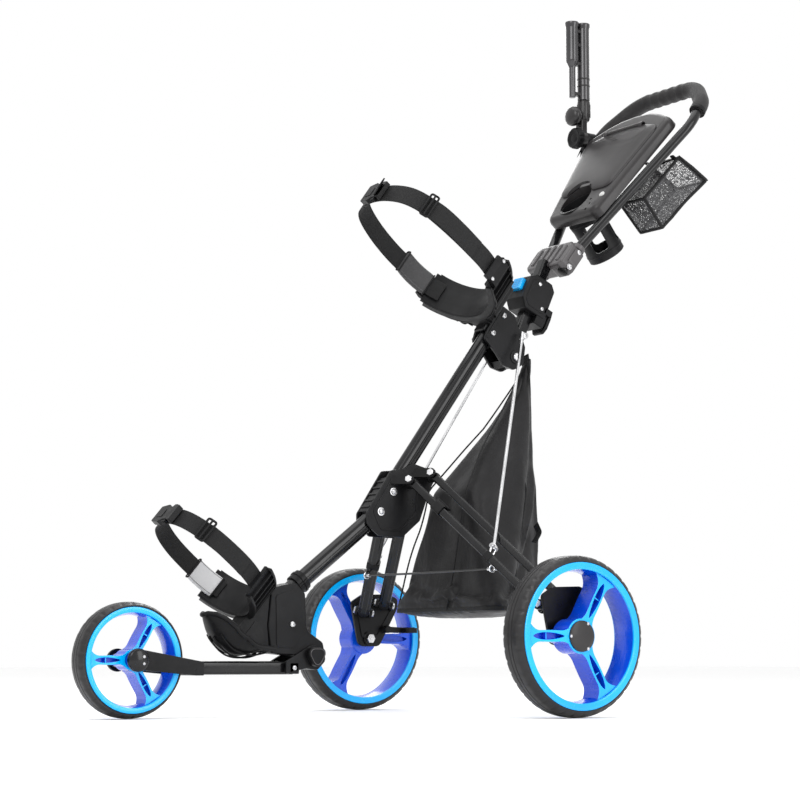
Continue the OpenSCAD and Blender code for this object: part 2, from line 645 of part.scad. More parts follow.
place() bar_clamp();
place() clamp_screws();
place() handle_bars();
place() handle_grip();
place() lock_housing();
place() lock_button();
place() lock_lever();
place() console_body();
place() console_lid();
place() ball_marker();
place() cup_holder();
place() net_pocket();
place() net_rim();
place() umbrella_clamp();
place() clamp_knob();
place() umbrella_joint();
place() joint_knob();
place() umbrella_tube();
place() leg_left();
place() leg_right();
place() link_left();
place() link_right();
place() hub_bracket_left();
place() hub_bracket_right();
place() hub_hardware_left();
place() hub_hardware_right();
place() rod_left();
place() rod_right();
place() brake_pedal();
place() tyre_left();
place() tyre_right();
place() rim_left();
place() rim_right();
place() hub_cap_left();
place() hub_cap_right();
place() front_fork();
place() pivot_cap();
place() front_tyre();
place() front_rim();
place() front_axle();
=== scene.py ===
import bpy
import bmesh
import math
from mathutils import Matrix, Vector, noise


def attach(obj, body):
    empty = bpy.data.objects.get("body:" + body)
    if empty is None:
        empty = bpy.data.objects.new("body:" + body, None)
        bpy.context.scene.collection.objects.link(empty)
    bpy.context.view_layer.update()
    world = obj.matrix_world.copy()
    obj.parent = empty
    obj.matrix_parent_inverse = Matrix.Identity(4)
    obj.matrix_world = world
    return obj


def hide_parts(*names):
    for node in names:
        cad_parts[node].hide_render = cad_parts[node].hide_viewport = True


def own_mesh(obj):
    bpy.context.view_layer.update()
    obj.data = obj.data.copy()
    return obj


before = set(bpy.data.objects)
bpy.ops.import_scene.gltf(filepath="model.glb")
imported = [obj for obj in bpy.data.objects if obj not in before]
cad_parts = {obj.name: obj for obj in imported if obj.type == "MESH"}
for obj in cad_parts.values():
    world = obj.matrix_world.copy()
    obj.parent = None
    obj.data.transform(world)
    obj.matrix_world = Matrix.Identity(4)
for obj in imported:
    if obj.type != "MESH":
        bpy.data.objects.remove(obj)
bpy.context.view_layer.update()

# ---------------------------------------------------------------- frame of reference
# Drawing units are millimetres from the rear axle line on the floor, as in the part's source.
MM = 0.001
# slopes of the main tube, of its nose, of the handle post and of the handle bars, in degrees
MAIN_A, NOSE_A, POST_A, BAR_A = 53.6, 37.7, 65.3, 52.0


def cosd(a):
    return math.cos(math.radians(a))


def sind(a):
    return math.sin(math.radians(a))


# places on the middle plane, as (y, z): the main tube's bend, foot and top, and the handle's pivot and bars
BEND = (-185.0, 336.0)
NOSE = (-372.0, 336.0 - 187.0 * math.tan(math.radians(NOSE_A)))
TOP = (98.0, 336.0 + 283.0 * math.tan(math.radians(MAIN_A)))
PIVOT = (116.0, 640.0)
BARS = (224.0, 822.0)
FORK_PIVOT = (-318, 100)
# how far the bars reach along their slope, the radius left for the grip, and where the wheels stand
REACH, GRIP_ROOM = 468.0, 15.5
REAR_R, REAR_WIDTH, REAR_X = 132.5, 51, 320
FRONT_R, FRONT_WIDTH, FRONT_Y = 92.5, 45, -652
Y_SHIFT = (FRONT_R - FRONT_Y - (BARS[0] + REACH * cosd(BAR_A) + GRIP_ROOM)) / 2
WORLD = Matrix.Translation((0, Y_SHIFT * MM, 0)) @ Matrix.Scale(MM, 4)
# turns a drawing in (y, z) with its height along x into place
SIDE = Matrix(((0, 0, 1, 0), (1, 0, 0, 0), (0, 1, 0, 0), (0, 0, 0, 1)))
MIRROR = Matrix.Scale(-1, 4, (1, 0, 0))


def T(x=0, y=0, z=0):
    return Matrix.Translation((x, y, z))


def R(a, axis):
    return Matrix.Rotation(math.radians(a), 4, axis)


def slope(p, a):
    """Frame at the point p whose Y runs up a slope of a degrees."""
    return T(0, p[0], p[1]) @ R(a, "X")


def line(o, a):
    """Function that gives the point s along a slope from o and n above it."""
    return lambda s, n=0: (o[0] + s * cosd(a) - n * sind(a), o[1] + s * sind(a) + n * cosd(a))


on_main, on_post, on_bars = line(BEND, MAIN_A), line(PIVOT, POST_A), line(BARS, BAR_A)


def on_nose(s):
    """Point on the nose, s down from the bend."""
    return (BEND[0] - s * cosd(NOSE_A), BEND[1] - s * sind(NOSE_A))


def along(a, b):
    """Frame at a whose Z points to b."""
    d = (Vector(b) - Vector(a)).normalized()
    return T(*a) @ R(math.degrees(math.atan2(d.y, d.x)), "Z") @ R(math.degrees(math.acos(d.z)), "Y")


# ---------------------------------------------------------------- camera
# fitted to the photo: turn, rise and roll in degrees, lens in mm, place in metres from the rear axle line
CAMERA_TURN, CAMERA_RISE, CAMERA_ROLL, CAMERA_LENS = 55.3, -6.9, 0.1, 95.7
CAMERA_X, CAMERA_Y, CAMERA_Z = 3.0492, -2.237, 0.0976
az, el, roll = (math.radians(a) for a in (CAMERA_TURN, CAMERA_RISE, CAMERA_ROLL))
right = Vector((math.cos(az), math.sin(az), 0))
back = Vector((math.sin(az) * math.cos(el), -math.cos(az) * math.cos(el), math.sin(el)))
up = back.cross(right)
right, up = math.cos(roll) * right + math.sin(roll) * up, -math.sin(roll) * right + math.cos(roll) * up
cam = bpy.data.cameras.new("camera")
cam.lens = CAMERA_LENS
cam.sensor_width = 36
cam.clip_end = 50
camera = bpy.data.objects.new("camera", cam)
m = Matrix((right, up, back)).transposed().to_4x4()
m.translation = Vector((CAMERA_X, CAMERA_Y + Y_SHIFT * MM, CAMERA_Z))
camera.matrix_world = m
bpy.context.scene.collection.objects.link(camera)
bpy.context.scene.camera = camera


# ---------------------------------------------------------------- materials
M = {}


class Mat:
    """A material with object or UV coordinates ready, and small helpers for its textures."""

    def __init__(self, name, color, rough, metal=0.0, coat=0.0, sheen=0.0, uv=False, spec=0.5):
        self.m = bpy.data.materials.new(name)
        self.m.use_nodes = True
        self.t = self.m.node_tree
        self.b = self.t.nodes["Principled BSDF"]
        self.b.inputs["Base Color"].default_value = (*color, 1)
        self.b.inputs["Roughness"].default_value = rough
        self.b.inputs["Metallic"].default_value = metal
        self.b.inputs["Coat Weight"].default_value = coat
        self.b.inputs["Coat Roughness"].default_value = 0.08
        self.b.inputs["Sheen Weight"].default_value = sheen
        self.b.inputs["Sheen Roughness"].default_value = 0.4
        self.b.inputs["Specular IOR Level"].default_value = spec
        self.co = self.t.nodes.new("ShaderNodeTexCoord").outputs["UV" if uv else "Object"]
        self.last = None
        self.color = color
        M[name] = self

    def node(self, kind, ins=None, **props):
        n = self.t.nodes.new(kind)
        for k, v in props.items():
            setattr(n, k, v)
        for k, v in (ins or {}).items():
            if isinstance(v, bpy.types.NodeSocket):
                self.t.links.new(v, n.inputs[k])
            else:
                n.inputs[k].default_value = v
        return n

    def noise(self, scale, detail=3.0, rough=0.5, stretch=None, distortion=0.0):
        co = self.co
        if stretch:
            co = self.node("ShaderNodeMapping", {"Vector": co, "Scale": stretch}).outputs[0]
        n = self.node("ShaderNodeTexNoise", {"Vector": co, "Scale": scale, "Detail": detail,
            "Roughness": rough, "Distortion": distortion})
        return n.outputs[0]

    def ramp(self, fac, stops):
        """Colour ramp through (position, colour) stops."""
        n = self.node("ShaderNodeValToRGB", {"Fac": fac})
        e = n.color_ramp.elements
        while len(e) < len(stops):
            e.new(0.5)
        for k, (pos, c) in enumerate(stops):
            e[k].position = pos
            e[k].color = (*c, 1) if len(c) == 3 else c
        return n.outputs[0]

    def tint(self, fac, lo, hi, a=0.35, b=0.65):
        """Base colour running from lo to hi times the set colour."""
        c = self.color
        out = self.ramp(fac, [(a, tuple(x * lo for x in c)), (b, tuple(min(1, x * hi) for x in c))])
        self.t.links.new(out, self.b.inputs["Base Color"])
        return self

    def gloss(self, fac, lo, hi, a=0.35, b=0.65):
        """Roughness running from lo to hi."""
        out = self.ramp(fac, [(a, (lo,) * 3), (b, (hi,) * 3)])
        self.t.links.new(out, self.b.inputs["Roughness"])
        return self

    def bump(self, height, distance, strength=1.0):
        ins = {"Height": height, "Distance": distance, "Strength": strength}
        if self.last is not None:
            ins["Normal"] = self.last
        self.last = self.node("ShaderNodeBump", ins).outputs[0]
        self.t.links.new(self.last, self.b.inputs["Normal"])
        return self

    def weave(self, du, dv, depth, offset=0.5, shade=0.55):
        """Small interlocking bricks on the UV map, in metres, as threads."""
        n = self.node("ShaderNodeTexBrick", {
            "Vector": self.co, "Color1": (1, 1, 1, 1), "Color2": (0.72, 0.72, 0.72, 1),
            "Mortar": (0, 0, 0, 1), "Scale": 1.0, "Mortar Size": 0.18 * dv, "Mortar Smooth": 0.6,
            "Brick Width": du, "Row Height": dv}, offset=offset)
        c = self.color
        out = self.ramp(n.outputs["Color"], [(0.0, tuple(x * shade for x in c)), (1.0, c)])
        self.t.links.new(out, self.b.inputs["Base Color"])
        return self.bump(n.outputs["Color"], depth)


def surface(name, color, rough, tint, gloss=None, bumps=(), **extra):
    """A material with a mottled colour, uneven gloss and a fine relief.

    tint and gloss are (noise arguments, low, high), each of bumps is (noise arguments, depth, strength).
    """
    mat = Mat(name, color, rough, **extra)
    for spots, depth, strength in bumps:
        mat.bump(mat.noise(*spots), depth, strength)
    mat.tint(mat.noise(*tint[0]), *tint[1:])
    if gloss:
        mat.gloss(mat.noise(*gloss[0]), *gloss[1:])
    return mat


def fabric(name, color, rough, thread, shade, folds, **extra):
    """A woven material: thread is (length, width, depth), folds is (noise scale, depth, strength)."""
    mat = Mat(name, color, rough, uv=True, **extra)
    mat.weave(*thread, shade=shade).bump(mat.noise(folds[0], 4), *folds[1:])


def metal(name, color, rough, tint, gloss):
    """Bare steel with long fine scratches."""
    mat = surface(name, color, rough, tint, gloss, metal=1.0)
    mat.bump(mat.noise(60, 4, 0.6, stretch=(1.0, 14.0, 14.0)), 0.00004, 0.5)


surface("tube_black", (0.0035, 0.0035, 0.004), 0.18, ((9, 4), 0.8, 1.7), ((26, 5, 0.65), 0.14, 0.3),
        [((700, 2), 0.00003, 0.5)], coat=0.28, spec=0.22)
surface("bracket_black", (0.005, 0.005, 0.0055), 0.36, ((14, 5), 0.75, 1.5), ((40, 5, 0.7), 0.26, 0.44),
        [((1500, 2), 0.00008, 0.7)], coat=0.06, spec=0.15)
surface("plastic_black", (0.0055, 0.0055, 0.006), 0.42, ((18, 4), 0.8, 1.45), ((55, 5, 0.7), 0.33, 0.5),
        [((2200, 2), 0.0001, 0.8), ((60, 2), 0.0001, 0.5)], coat=0.02, spec=0.16)
surface("plastic_grey", (0.017, 0.0155, 0.016), 0.36, ((7, 4), 0.85, 1.2), ((12, 3, 0.6), 0.31, 0.4),
        [((1800, 2), 0.00003, 0.5)], coat=0.12, spec=0.32)
surface("gloss_grey", (0.016, 0.015, 0.0155), 0.28, ((12, 4), 0.8, 1.25), ((20, 3, 0.6), 0.24, 0.33),
        [((1300, 2), 0.00003, 0.5)], coat=0.2, spec=0.3)
surface("clamp_grey", (0.062, 0.058, 0.06), 0.36, ((12, 4), 0.82, 1.2), ((20, 3, 0.6), 0.3, 0.42),
        [((1300, 2), 0.00004, 0.5)], coat=0.15, spec=0.45)
surface("socket_gloss", (0.035, 0.034, 0.036), 0.2, ((14, 4), 0.8, 1.25), ((30, 4, 0.6), 0.15, 0.26),
        [((1300, 2), 0.00002, 0.5)], metal=0.55, coat=0.5, spec=0.6)
surface("rim_blue", (0.0, 0.07, 0.62), 0.26, ((5, 3), 0.85, 1.18), ((35, 5, 0.7), 0.18, 0.32),
        [((900, 2), 0.00002, 0.5)], coat=0.35, spec=0.4)
# painted highlight: a lighter blue laid on the rim's lip, the spokes' top edges and the hub's face,
# standing in for the gloss catching the light
surface("rim_edge", (0.0, 0.4, 0.9), 0.26, ((6, 3), 0.88, 1.1), ((35, 5, 0.7), 0.16, 0.3),
        [((900, 2), 0.00004, 0.6)], coat=0.3, spec=0.4)
surface("tyre_rubber", (0.009, 0.0085, 0.0092), 0.42, ((11, 6, 0.7), 0.7, 1.6),
        ((30, 5, 0.7), 0.3, 0.55), [((1200, 3), 0.00012, 0.8)], coat=0.05, spec=0.4)
surface("foam_grip", (0.014, 0.013, 0.0135), 0.62, ((30, 5, 0.7), 0.75, 1.35), None,
        [((95, 4, 0.6, None, 0.6), 0.0009, 0.6), ((1700, 4, 0.7), 0.0004, 0.9)], sheen=0.08, spec=0.35)
fabric("webbing", (0.012, 0.012, 0.0125), 0.66, (0.0034, 0.0017, 0.0004), 0.55, (70, 0.0003, 0.4),
       sheen=0.05, spec=0.22)
fabric("sleeve_grey", (0.05, 0.049, 0.051), 0.6, (0.0021, 0.0013, 0.00025), 0.7, (45, 0.0006, 0.5),
       sheen=0.12)
fabric("sleeve_pale", (0.62, 0.62, 0.63), 0.6, (0.0021, 0.0013, 0.00025), 0.8, (45, 0.0006, 0.5),
       sheen=0.2)
surface("bag_nylon", (0.0085, 0.0082, 0.0088), 0.5, ((8, 5, 0.65), 0.75, 1.5), ((24, 5), 0.42, 0.6),
        [((9, 6, 0.62, None, 0.8), 0.006, 0.6), ((30, 4, 0.6, (1, 1, 0.35), 1.2), 0.0018, 0.5),
         ((900, 2), 0.00015, 0.6)], sheen=0.05, spec=0.22)
surface("cable_black", (0.006, 0.006, 0.0065), 0.4, ((40, 4), 0.7, 1.8), None,
        [((500, 3, 0.6), 0.0002, 0.7)], coat=0.1)
surface("button_blue", (0.0, 0.36, 0.82), 0.28, ((30, 4), 0.85, 1.15), ((90, 4), 0.2, 0.34),
        [((1500, 2), 0.00006, 0.6)], coat=0.3)
metal("steel", (0.62, 0.62, 0.63), 0.26, ((60, 5), 0.75, 1.1), ((120, 5, 0.7), 0.18, 0.38))
metal("rod_steel", (0.74, 0.74, 0.75), 0.2, ((20, 5), 0.8, 1.08), ((60, 5, 0.7), 0.12, 0.3))
surface("marker_white", (0.5, 0.5, 0.49), 0.35, ((80, 4), 0.85, 1.08), None, [((900, 2), 0.00008, 0.6)],
        coat=0.3)
# painted shade: a dark matte sheet laid at the bottom of a pocket or hole, where there is only shadow
surface("recess_painted_shade", (0.006, 0.006, 0.006), 0.8, ((60, 3), 0.6, 1.6), None, [((900, 2), 0.0001, 0.5)])
surface("thread", (0.09, 0.09, 0.092), 0.6, ((400, 3), 0.6, 1.4), None, [((900, 2), 0.0002, 0.7)],
        sheen=0.2)

# the net is drawn as the edges of small cells, with nothing between them
net = Mat("mesh_net", (0.028, 0.028, 0.03), 0.55, sheen=0.2, uv=True)
stretched = net.node("ShaderNodeMapping", {"Vector": net.co, "Scale": (1.0, 1.15, 1.0)}).outputs[0]
holes = net.node("ShaderNodeTexVoronoi", {"Vector": stretched, "Scale": 300.0, "Randomness": 0.8},
                 feature="DISTANCE_TO_EDGE")
cover = net.ramp(holes.outputs["Distance"], [(0.14, (1, 1, 1)), (0.2, (0, 0, 0))])
net.tint(net.noise(60, 4), 0.7, 1.5)
net.bump(holes.outputs["Distance"], 0.0004)
net.t.links.new(cover, net.b.inputs["Alpha"])


# ---------------------------------------------------------------- shapes
def new_bm():
    bm = bmesh.new()
    bm.loops.layers.uv.new("UVMap")
    return bm


def outward(bm):
    bmesh.ops.recalc_face_normals(bm, faces=bm.faces)
    return bm


def placed(bm, m):
    bmesh.ops.transform(bm, matrix=m, verts=bm.verts)
    return bm


def skin(bm, rows):
    """Quads between closed rows of vertices, with a cap on the first and the last row."""
    for a, b in zip(rows, rows[1:]):
        for i in range(len(a)):
            bm.faces.new((a[i], a[(i + 1) % len(a)], b[(i + 1) % len(a)], b[i]))
    bm.faces.new(list(reversed(rows[0])))
    bm.faces.new(rows[-1])
    return outward(bm)


def bevel(bm, width, seg=2, angle=28.0):
    """Round the edges that turn by more than angle."""
    if width <= 0:
        return bm
    edges = [e for e in bm.edges if e.is_manifold and e.calc_face_angle(0) > math.radians(angle)]
    bmesh.ops.bevel(bm, geom=edges, offset=width, offset_type="OFFSET", segments=seg, profile=0.6,
        affect="EDGES", clamp_overlap=True)
    return bm


def fillet(points, radius, n=5, closed=True):
    """Round the corners of a polyline. radius is one number or one per corner."""
    pts = [Vector(p) if len(p) == 3 else Vector((p[0], p[1], 0)) for p in points]
    out = []
    k = len(pts)
    for i, p in enumerate(pts):
        r = radius[i] if isinstance(radius, (list, tuple)) else radius
        if (not closed and i in (0, k - 1)) or r <= 0:
            out.append(p)
            continue
        a, b = (pts[i - 1] - p), (pts[(i + 1) % k] - p)
        la, lb = a.length, b.length
        a.normalize()
        b.normalize()
        ang = a.angle(b)
        if ang > math.radians(178):
            out.append(p)
            continue
        t = min(r / math.tan(ang / 2), la * 0.48, lb * 0.48)
        rr = t * math.tan(ang / 2)
        c = p + (a + b).normalized() * (rr / math.sin(ang / 2))
        s, e = p + a * t - c, p + b * t - c
        turn = s.angle(e)
        for j in range(n + 1):
            f = j / n
            w = (math.sin((1 - f) * turn) * s + math.sin(f * turn) * e) / math.sin(turn)
            out.append(c + w)
    return out


def rounded(points, radius, n=4):
    """Closed outline with round corners, as (x, y) pairs."""
    return [(v.x, v.y) for v in fillet(points, radius, n)]


def hexagon(r):
    return [(r * cosd(a), r * sind(a)) for a in range(0, 360, 60)]


def prism(points, z0, z1, bev=0.8, seg=2, rounding=0, n=4):
    """Outline raised from z0 to z1, its corners rounded and its edges bevelled."""
    pts = fillet(points, rounding, n) if rounding else [Vector((p[0], p[1], 0)) for p in points]
    bm = new_bm()
    vs = [bm.verts.new((p.x, p.y, z0)) for p in pts]
    f = bm.faces.new(vs)
    ext = bmesh.ops.extrude_face_region(bm, geom=[f])
    for v in ext["geom"]:
        if isinstance(v, bmesh.types.BMVert):
            v.co.z = z1
    return bevel(outward(bm), bev, seg)


def ring_prism(outer, inner, z0, z1, bev=0.4):
    """The band between two outlines of as many points, raised from z0 to z1."""
    bm = new_bm()
    k = len(outer)
    rows = [[bm.verts.new((p[0], p[1], z)) for p in loop] for loop in (outer, inner) for z in (z0, z1)]
    o0, o1, i0, i1 = rows
    for a in range(k):
        b = (a + 1) % k
        for q in ((o0[a], o0[b], o1[b], o1[a]), (i0[b], i0[a], i1[a], i1[b]),
            (o1[a], o1[b], i1[b], i1[a]), (o0[b], o0[a], i0[a], i0[b])):
            bm.faces.new(q)
    return bevel(outward(bm), bev, 2)


def box(size, bev=1.5, seg=2, at=(0, 0, 0)):
    """Bevelled block about the point at."""
    x, y, z = (v / 2 for v in size)
    bm = prism([(-x, -y), (x, -y), (x, y), (-x, y)], -z, z, bev, seg)
    bmesh.ops.translate(bm, verts=bm.verts, vec=at)
    return bm


def lathe(profile, n=48, disp=None, closed=False, arc=360.0, start=0.0):
    """Turn (r, z) points about Z. disp(i, angle) adds to a point's radius."""
    bm = new_bm()
    full = arc >= 360
    cols = n if full else n + 1
    grid = []
    for j in range(cols):
        a = math.radians(start + arc * j / n)
        col = []
        for i, (r, z) in enumerate(profile):
            if r <= 1e-6 and full:
                col.append(grid[0][i] if j else bm.verts.new((0, 0, z)))
                continue
            rr = r + (disp(i, a) if disp else 0)
            col.append(bm.verts.new((rr * math.cos(a), rr * math.sin(a), z)))
        grid.append(col)
    k = len(profile)
    for j in range(n):
        a, b = grid[j], grid[(j + 1) % cols]
        for i in range(k if closed else k - 1):
            q = []
            for v in (a[i], b[i], b[(i + 1) % k], a[(i + 1) % k]):
                if v not in q:
                    q.append(v)
            if len(q) > 2:
                bm.faces.new(q)
    if not full and closed:
        bm.faces.new(grid[0])
        bm.faces.new(list(reversed(grid[-1])))
    return outward(bm)


def disc(r, h, bev=0.6, n=32, z=0.0, dome=0.0):
    """A turned button with rounded rims, its base at z."""
    b = min(bev, h * 0.45, r * 0.4)
    pts = [(0, z), (r - b, z), (r - b * 0.3, z + b * 0.3), (r, z + b), (r, z + h - b),
        (r - b * 0.3, z + h - b * 0.3), (r - b, z + h)]
    for f in (0.75, 0.5, 0.25, 0.0):
        pts.append(((r - b) * f, z + h + dome * (1 - f * f)))
    return lathe(pts, n)


def tube(r0, r1, h, z=0.0, n=40, bev=0.5):
    """Open tube of radius r0 and bore r1, its foot at z."""
    b = min(bev, (r0 - r1) * 0.4)
    pts = [(r1, z + b), (r1 + b, z), (r0 - b, z), (r0, z + b), (r0, z + h - b), (r0 - b, z + h),
        (r1 + b, z + h), (r1, z + h - b)]
    return lathe(pts, n, closed=True)


def sweep(path, section, normal=Vector((1, 0, 0)), closed=False, scale=None, smooth_frames=False):
    """Carry a closed section along a path, its first axis kept near normal.

    scale(share of the length) gives the section's two scales; smooth_frames carries the last frame on.
    """
    bm = new_bm()
    uv = bm.loops.layers.uv["UVMap"]
    path = [Vector(p) for p in path]
    k = len(path)
    rings = []
    dist = [0.0]
    for i in range(1, k):
        dist.append(dist[-1] + (path[i] - path[i - 1]).length)
    total = dist[-1] + ((path[0] - path[-1]).length if closed else 0)
    prev = None
    for i, p in enumerate(path):
        a = path[i - 1] if (i > 0 or closed) else p
        b = path[(i + 1) % k] if (i < k - 1 or closed) else p
        t = (b - a).normalized()
        ref = prev if (smooth_frames and prev is not None) else normal
        n2 = (ref - t * ref.dot(t)).normalized()
        prev = n2
        n1 = t.cross(n2)
        s = scale(dist[i] / max(total, 1e-9)) if scale else (1, 1)
        rings.append([bm.verts.new(p + n2 * (q[0] * s[0]) + n1 * (q[1] * s[1])) for q in section])
    m = len(section)
    per = [0.0]
    for j in range(m):
        per.append(per[-1] + math.dist(section[j], section[(j + 1) % m]))
    for i in range(k if closed else k - 1):
        u0 = dist[i] * MM
        u1 = (dist[i + 1] if i + 1 < k else total) * MM
        for j in range(m):
            f = bm.faces.new((rings[i][j], rings[i][(j + 1) % m], rings[(i + 1) % k][(j + 1) % m],
                rings[(i + 1) % k][j]))
            for loop, c in zip(f.loops, ((u0, per[j] * MM), (u0, per[j + 1] * MM),
                (u1, per[j + 1] * MM), (u1, per[j] * MM))):
                loop[uv].uv = c
    if not closed:
        bm.faces.new(list(reversed(rings[0])))
        bm.faces.new(rings[-1])
    return outward(bm)


def circle(r, n=20):
    return [(r * math.cos(2 * math.pi * i / n), r * math.sin(2 * math.pi * i / n)) for i in range(n)]


def wire(path, r, n=14, **k):
    """Round bar along a path."""
    return sweep(path, circle(r, n), smooth_frames=True, **k)


def strip(width, thick):
    """Flat webbing section: width along the first axis, rounded selvedges and two low ridges."""
    w, t, ridge = width / 2, thick / 2, thick / 2 + 0.25
    half = [(-w, -t * 0.3), (-w + 0.7, -t), (-w * 0.5, -ridge), (0, -t), (w * 0.5, -ridge),
        (w - 0.7, -t), (w, -t * 0.3)]
    return half + [(x, -y) for x, y in reversed(half)]


def rect(w, h, r=2.0, n=3):
    return rounded([(-w / 2, -h / 2), (w / 2, -h / 2), (w / 2, h / 2), (-w / 2, h / 2)], r, n)


def catmull(pts, n=6):
    """Smooth line through points, n steps from each to the next."""
    pts = [Vector(p) for p in pts]
    k = len(pts)
    out = []
    for i in range(k - 1):
        p1, p2 = pts[i], pts[i + 1]
        p0 = pts[i - 1] if i > 0 else p1 * 2 - p2
        p3 = pts[i + 2] if i + 2 < k else p2 * 2 - p1
        for j in range(n):
            t = j / n
            square, cube = 2 * p0 - 5 * p1 + 4 * p2 - p3, 3 * p1 - p0 - 3 * p2 + p3
            out.append(0.5 * ((2 * p1) + (p2 - p0) * t + square * t * t + cube * t ** 3))
    return out + [pts[-1]]


def tool_cut(bm, tool):
    """One closed shape cut out of another, by an exact boolean."""
    made = []
    for x in (bm, tool):
        me = bpy.data.meshes.new("cut")
        x.to_mesh(me)
        x.free()
        made.append(bpy.data.objects.new("cut", me))
        bpy.context.scene.collection.objects.link(made[-1])
    mod = made[0].modifiers.new("cut", "BOOLEAN")
    mod.object = made[1]
    mod.operation = "DIFFERENCE"
    mod.solver = "EXACT"
    bpy.context.view_layer.update()
    me = bpy.data.meshes.new_from_object(made[0].evaluated_get(bpy.context.evaluated_depsgraph_get()))
    out = new_bm()
    out.from_mesh(me)
    for o in made:
        old = o.data
        bpy.data.objects.remove(o)
        bpy.data.meshes.remove(old)
    bpy.data.meshes.remove(me)
    return out


class Piece:
    """One visible piece: shapes joined with their materials, in drawing units until it is built."""

    def __init__(self, name, mat):
        self.name = name
        self.mat = mat
        self.bm = new_bm()
        self.mats = []

    def add(self, bm, mat=None, at=Matrix(), pick=None):
        """Join a shape, in the piece's own material if mat is not given.

        pick(face) may name another material for a face, before the shape is placed.
        """
        def index(name):
            if name not in self.mats:
                self.mats.append(name)
            return self.mats.index(name)

        base = index(mat or self.mat)
        for f in bm.faces:
            other = pick(f) if pick else None
            f.material_index = index(other) if other else base
            f.smooth = True
        bmesh.ops.transform(bm, matrix=at, verts=bm.verts)
        if at.determinant() < 0:
            bmesh.ops.reverse_faces(bm, faces=bm.faces)
        me = bpy.data.meshes.new("part")
        bm.to_mesh(me)
        bm.free()
        self.bm.from_mesh(me)
        bpy.data.meshes.remove(me)
        return self

    def build(self, body, nodes, slot=None, sharp=38.0, weight=True):
        """Make the object, ride it on its body and let it stand for CAD nodes.

        slot is not used.
        """
        bmesh.ops.transform(self.bm, matrix=WORLD, verts=self.bm.verts)
        me = bpy.data.meshes.new(self.name)
        self.bm.to_mesh(me)
        self.bm.free()
        for n in self.mats:
            me.materials.append(M[n].m)
        me.set_sharp_from_angle(angle=math.radians(sharp))
        ob = bpy.data.objects.new(self.name, me)
        bpy.context.scene.collection.objects.link(ob)
        if weight:
            w = ob.modifiers.new("normals", "WEIGHTED_NORMAL")
            w.keep_sharp = True
        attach(ob, body)
        if nodes:
            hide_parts(*nodes)
        slot or self.mat
        return ob


def rivet(r, h):
    """Domed rivet head."""
    return disc(r, h * 0.5, 0.4, 24, dome=h * 0.5)


def pin(r, z0, z1, inset, chamfer, n=20):
    """Solid pin from z0 to z1, its ends drawn in by inset over the last chamfer."""
    return lathe([(0, z0), (r - inset, z0), (r, z0 + chamfer), (r, z1 - chamfer), (r - inset, z1),
        (0, z1)], n)


def rod(r, z0, z1, n=20):
    """Solid cylinder with sharp ends, for cutting holes."""
    return lathe([(0, z0), (r, z0), (r, z1), (0, z1)], n)


def socket_bolt(r=5.0, h=4.0):
    """Domed bolt head with a round recess."""
    return lathe([(r, 0), (r, h * 0.35), (r * 0.92, h * 0.7), (r * 0.7, h * 0.93), (r * 0.45, h),
        (r * 0.42, h * 0.98),
                  (r * 0.4, h * 0.45), (0, h * 0.45)], 24)


def facing(s, x, y, z):
    """Frame whose Z looks out along +X (s 1) or -X (s -1)."""
    return T(x, y, z) @ R(s * 90, "Y")


def pair(piece, make, mat=None, at=Matrix()):
    """The same shape on both sides of the middle plane."""
    for flip in (Matrix(), MIRROR):
        piece.add(make(), mat, flip @ at)


# ---------------------------------------------------------------- main tube and brackets
def yz(p, x=0.0):
    """Point in space from a place on the middle plane."""
    return (x, p[0], p[1])


def oval():
    """Section of the main tube: an oval with two narrow grooves along each flat side."""
    pts = [(12 * cosd(11.25 * i), 3 + 12 * sind(11.25 * i)) for i in range(17)]
    pts += [(-12, 2.6), (-11, 2.2), (-11, 1.4), (-12, 1.0), (-12, -1.0), (-11, -1.4), (-11, -2.2),
        (-12, -2.6)]
    pts += [(12 * cosd(180 + 11.25 * i), -3 + 12 * sind(180 + 11.25 * i)) for i in range(17)]
    pts += [(12, -2.6), (11, -2.2), (11, -1.4), (12, -1.0), (12, 1.0), (11, 1.4), (11, 2.2), (12, 2.6)]
    return pts


tube_line = fillet([yz(NOSE), yz(BEND), yz(TOP)], 230, 14, closed=False)
p = Piece("main_tube_oval", "tube_black")
p.add(sweep(tube_line, oval()))
p.add(prism(rect(22, 26, 8, 5), -3, 4, 1.5), "plastic_black", slope(TOP, MAIN_A) @ R(-90, "X"))
p.build("frame", ["main_tube"])

# the direction of the leg hinges, the right leg's two hinge pins, and the step to its link's pins
HINGE = Vector((-0.56512, 0.79135, -0.23323)).normalized()
LEG_TOP, LEG_FOOT, STEP = Vector((34, -124, 400)), Vector((264, -24, 182)), Vector((0, 46, 14))


def on_hinge(q):
    """Frame at q with its Z along the leg hinges."""
    return along(q, Vector(q) + HINGE)


def ear(length):
    """Round-ended lug whose tail reaches back by length, either way."""
    s = 1 if length > 0 else -1
    pts = [(8.6 * cosd(a), -s * 8.6 * sind(a)) for a in range(0, 181, 15)] + [(-8, length), (8, length)]
    return prism(pts, 0, 4.6, 0.7)


def ears(piece, q, first, second, mat, flips=(Matrix(), MIRROR)):
    """The two lugs that hold a leg's or link's hinge pin at q."""
    for z, l in ((-16, first), (11.4, second)):
        for flip in flips:
            piece.add(ear(l), mat, flip @ on_hinge(q) @ T(0, 0, z))


def hinge_pin(piece, q, flip=Matrix()):
    """Hollow pin with a domed head and a nut."""
    a = flip @ on_hinge(q)
    piece.add(tube(3, 0.5, 38, -19, 20), "steel", a)
    piece.add(disc(6, 2.9, 0.7, 24, 16.1, 0.9), "steel", a)
    piece.add(prism(hexagon(6.4), 16.1, 19.4, 0.6), "steel", a @ R(180, "X"))


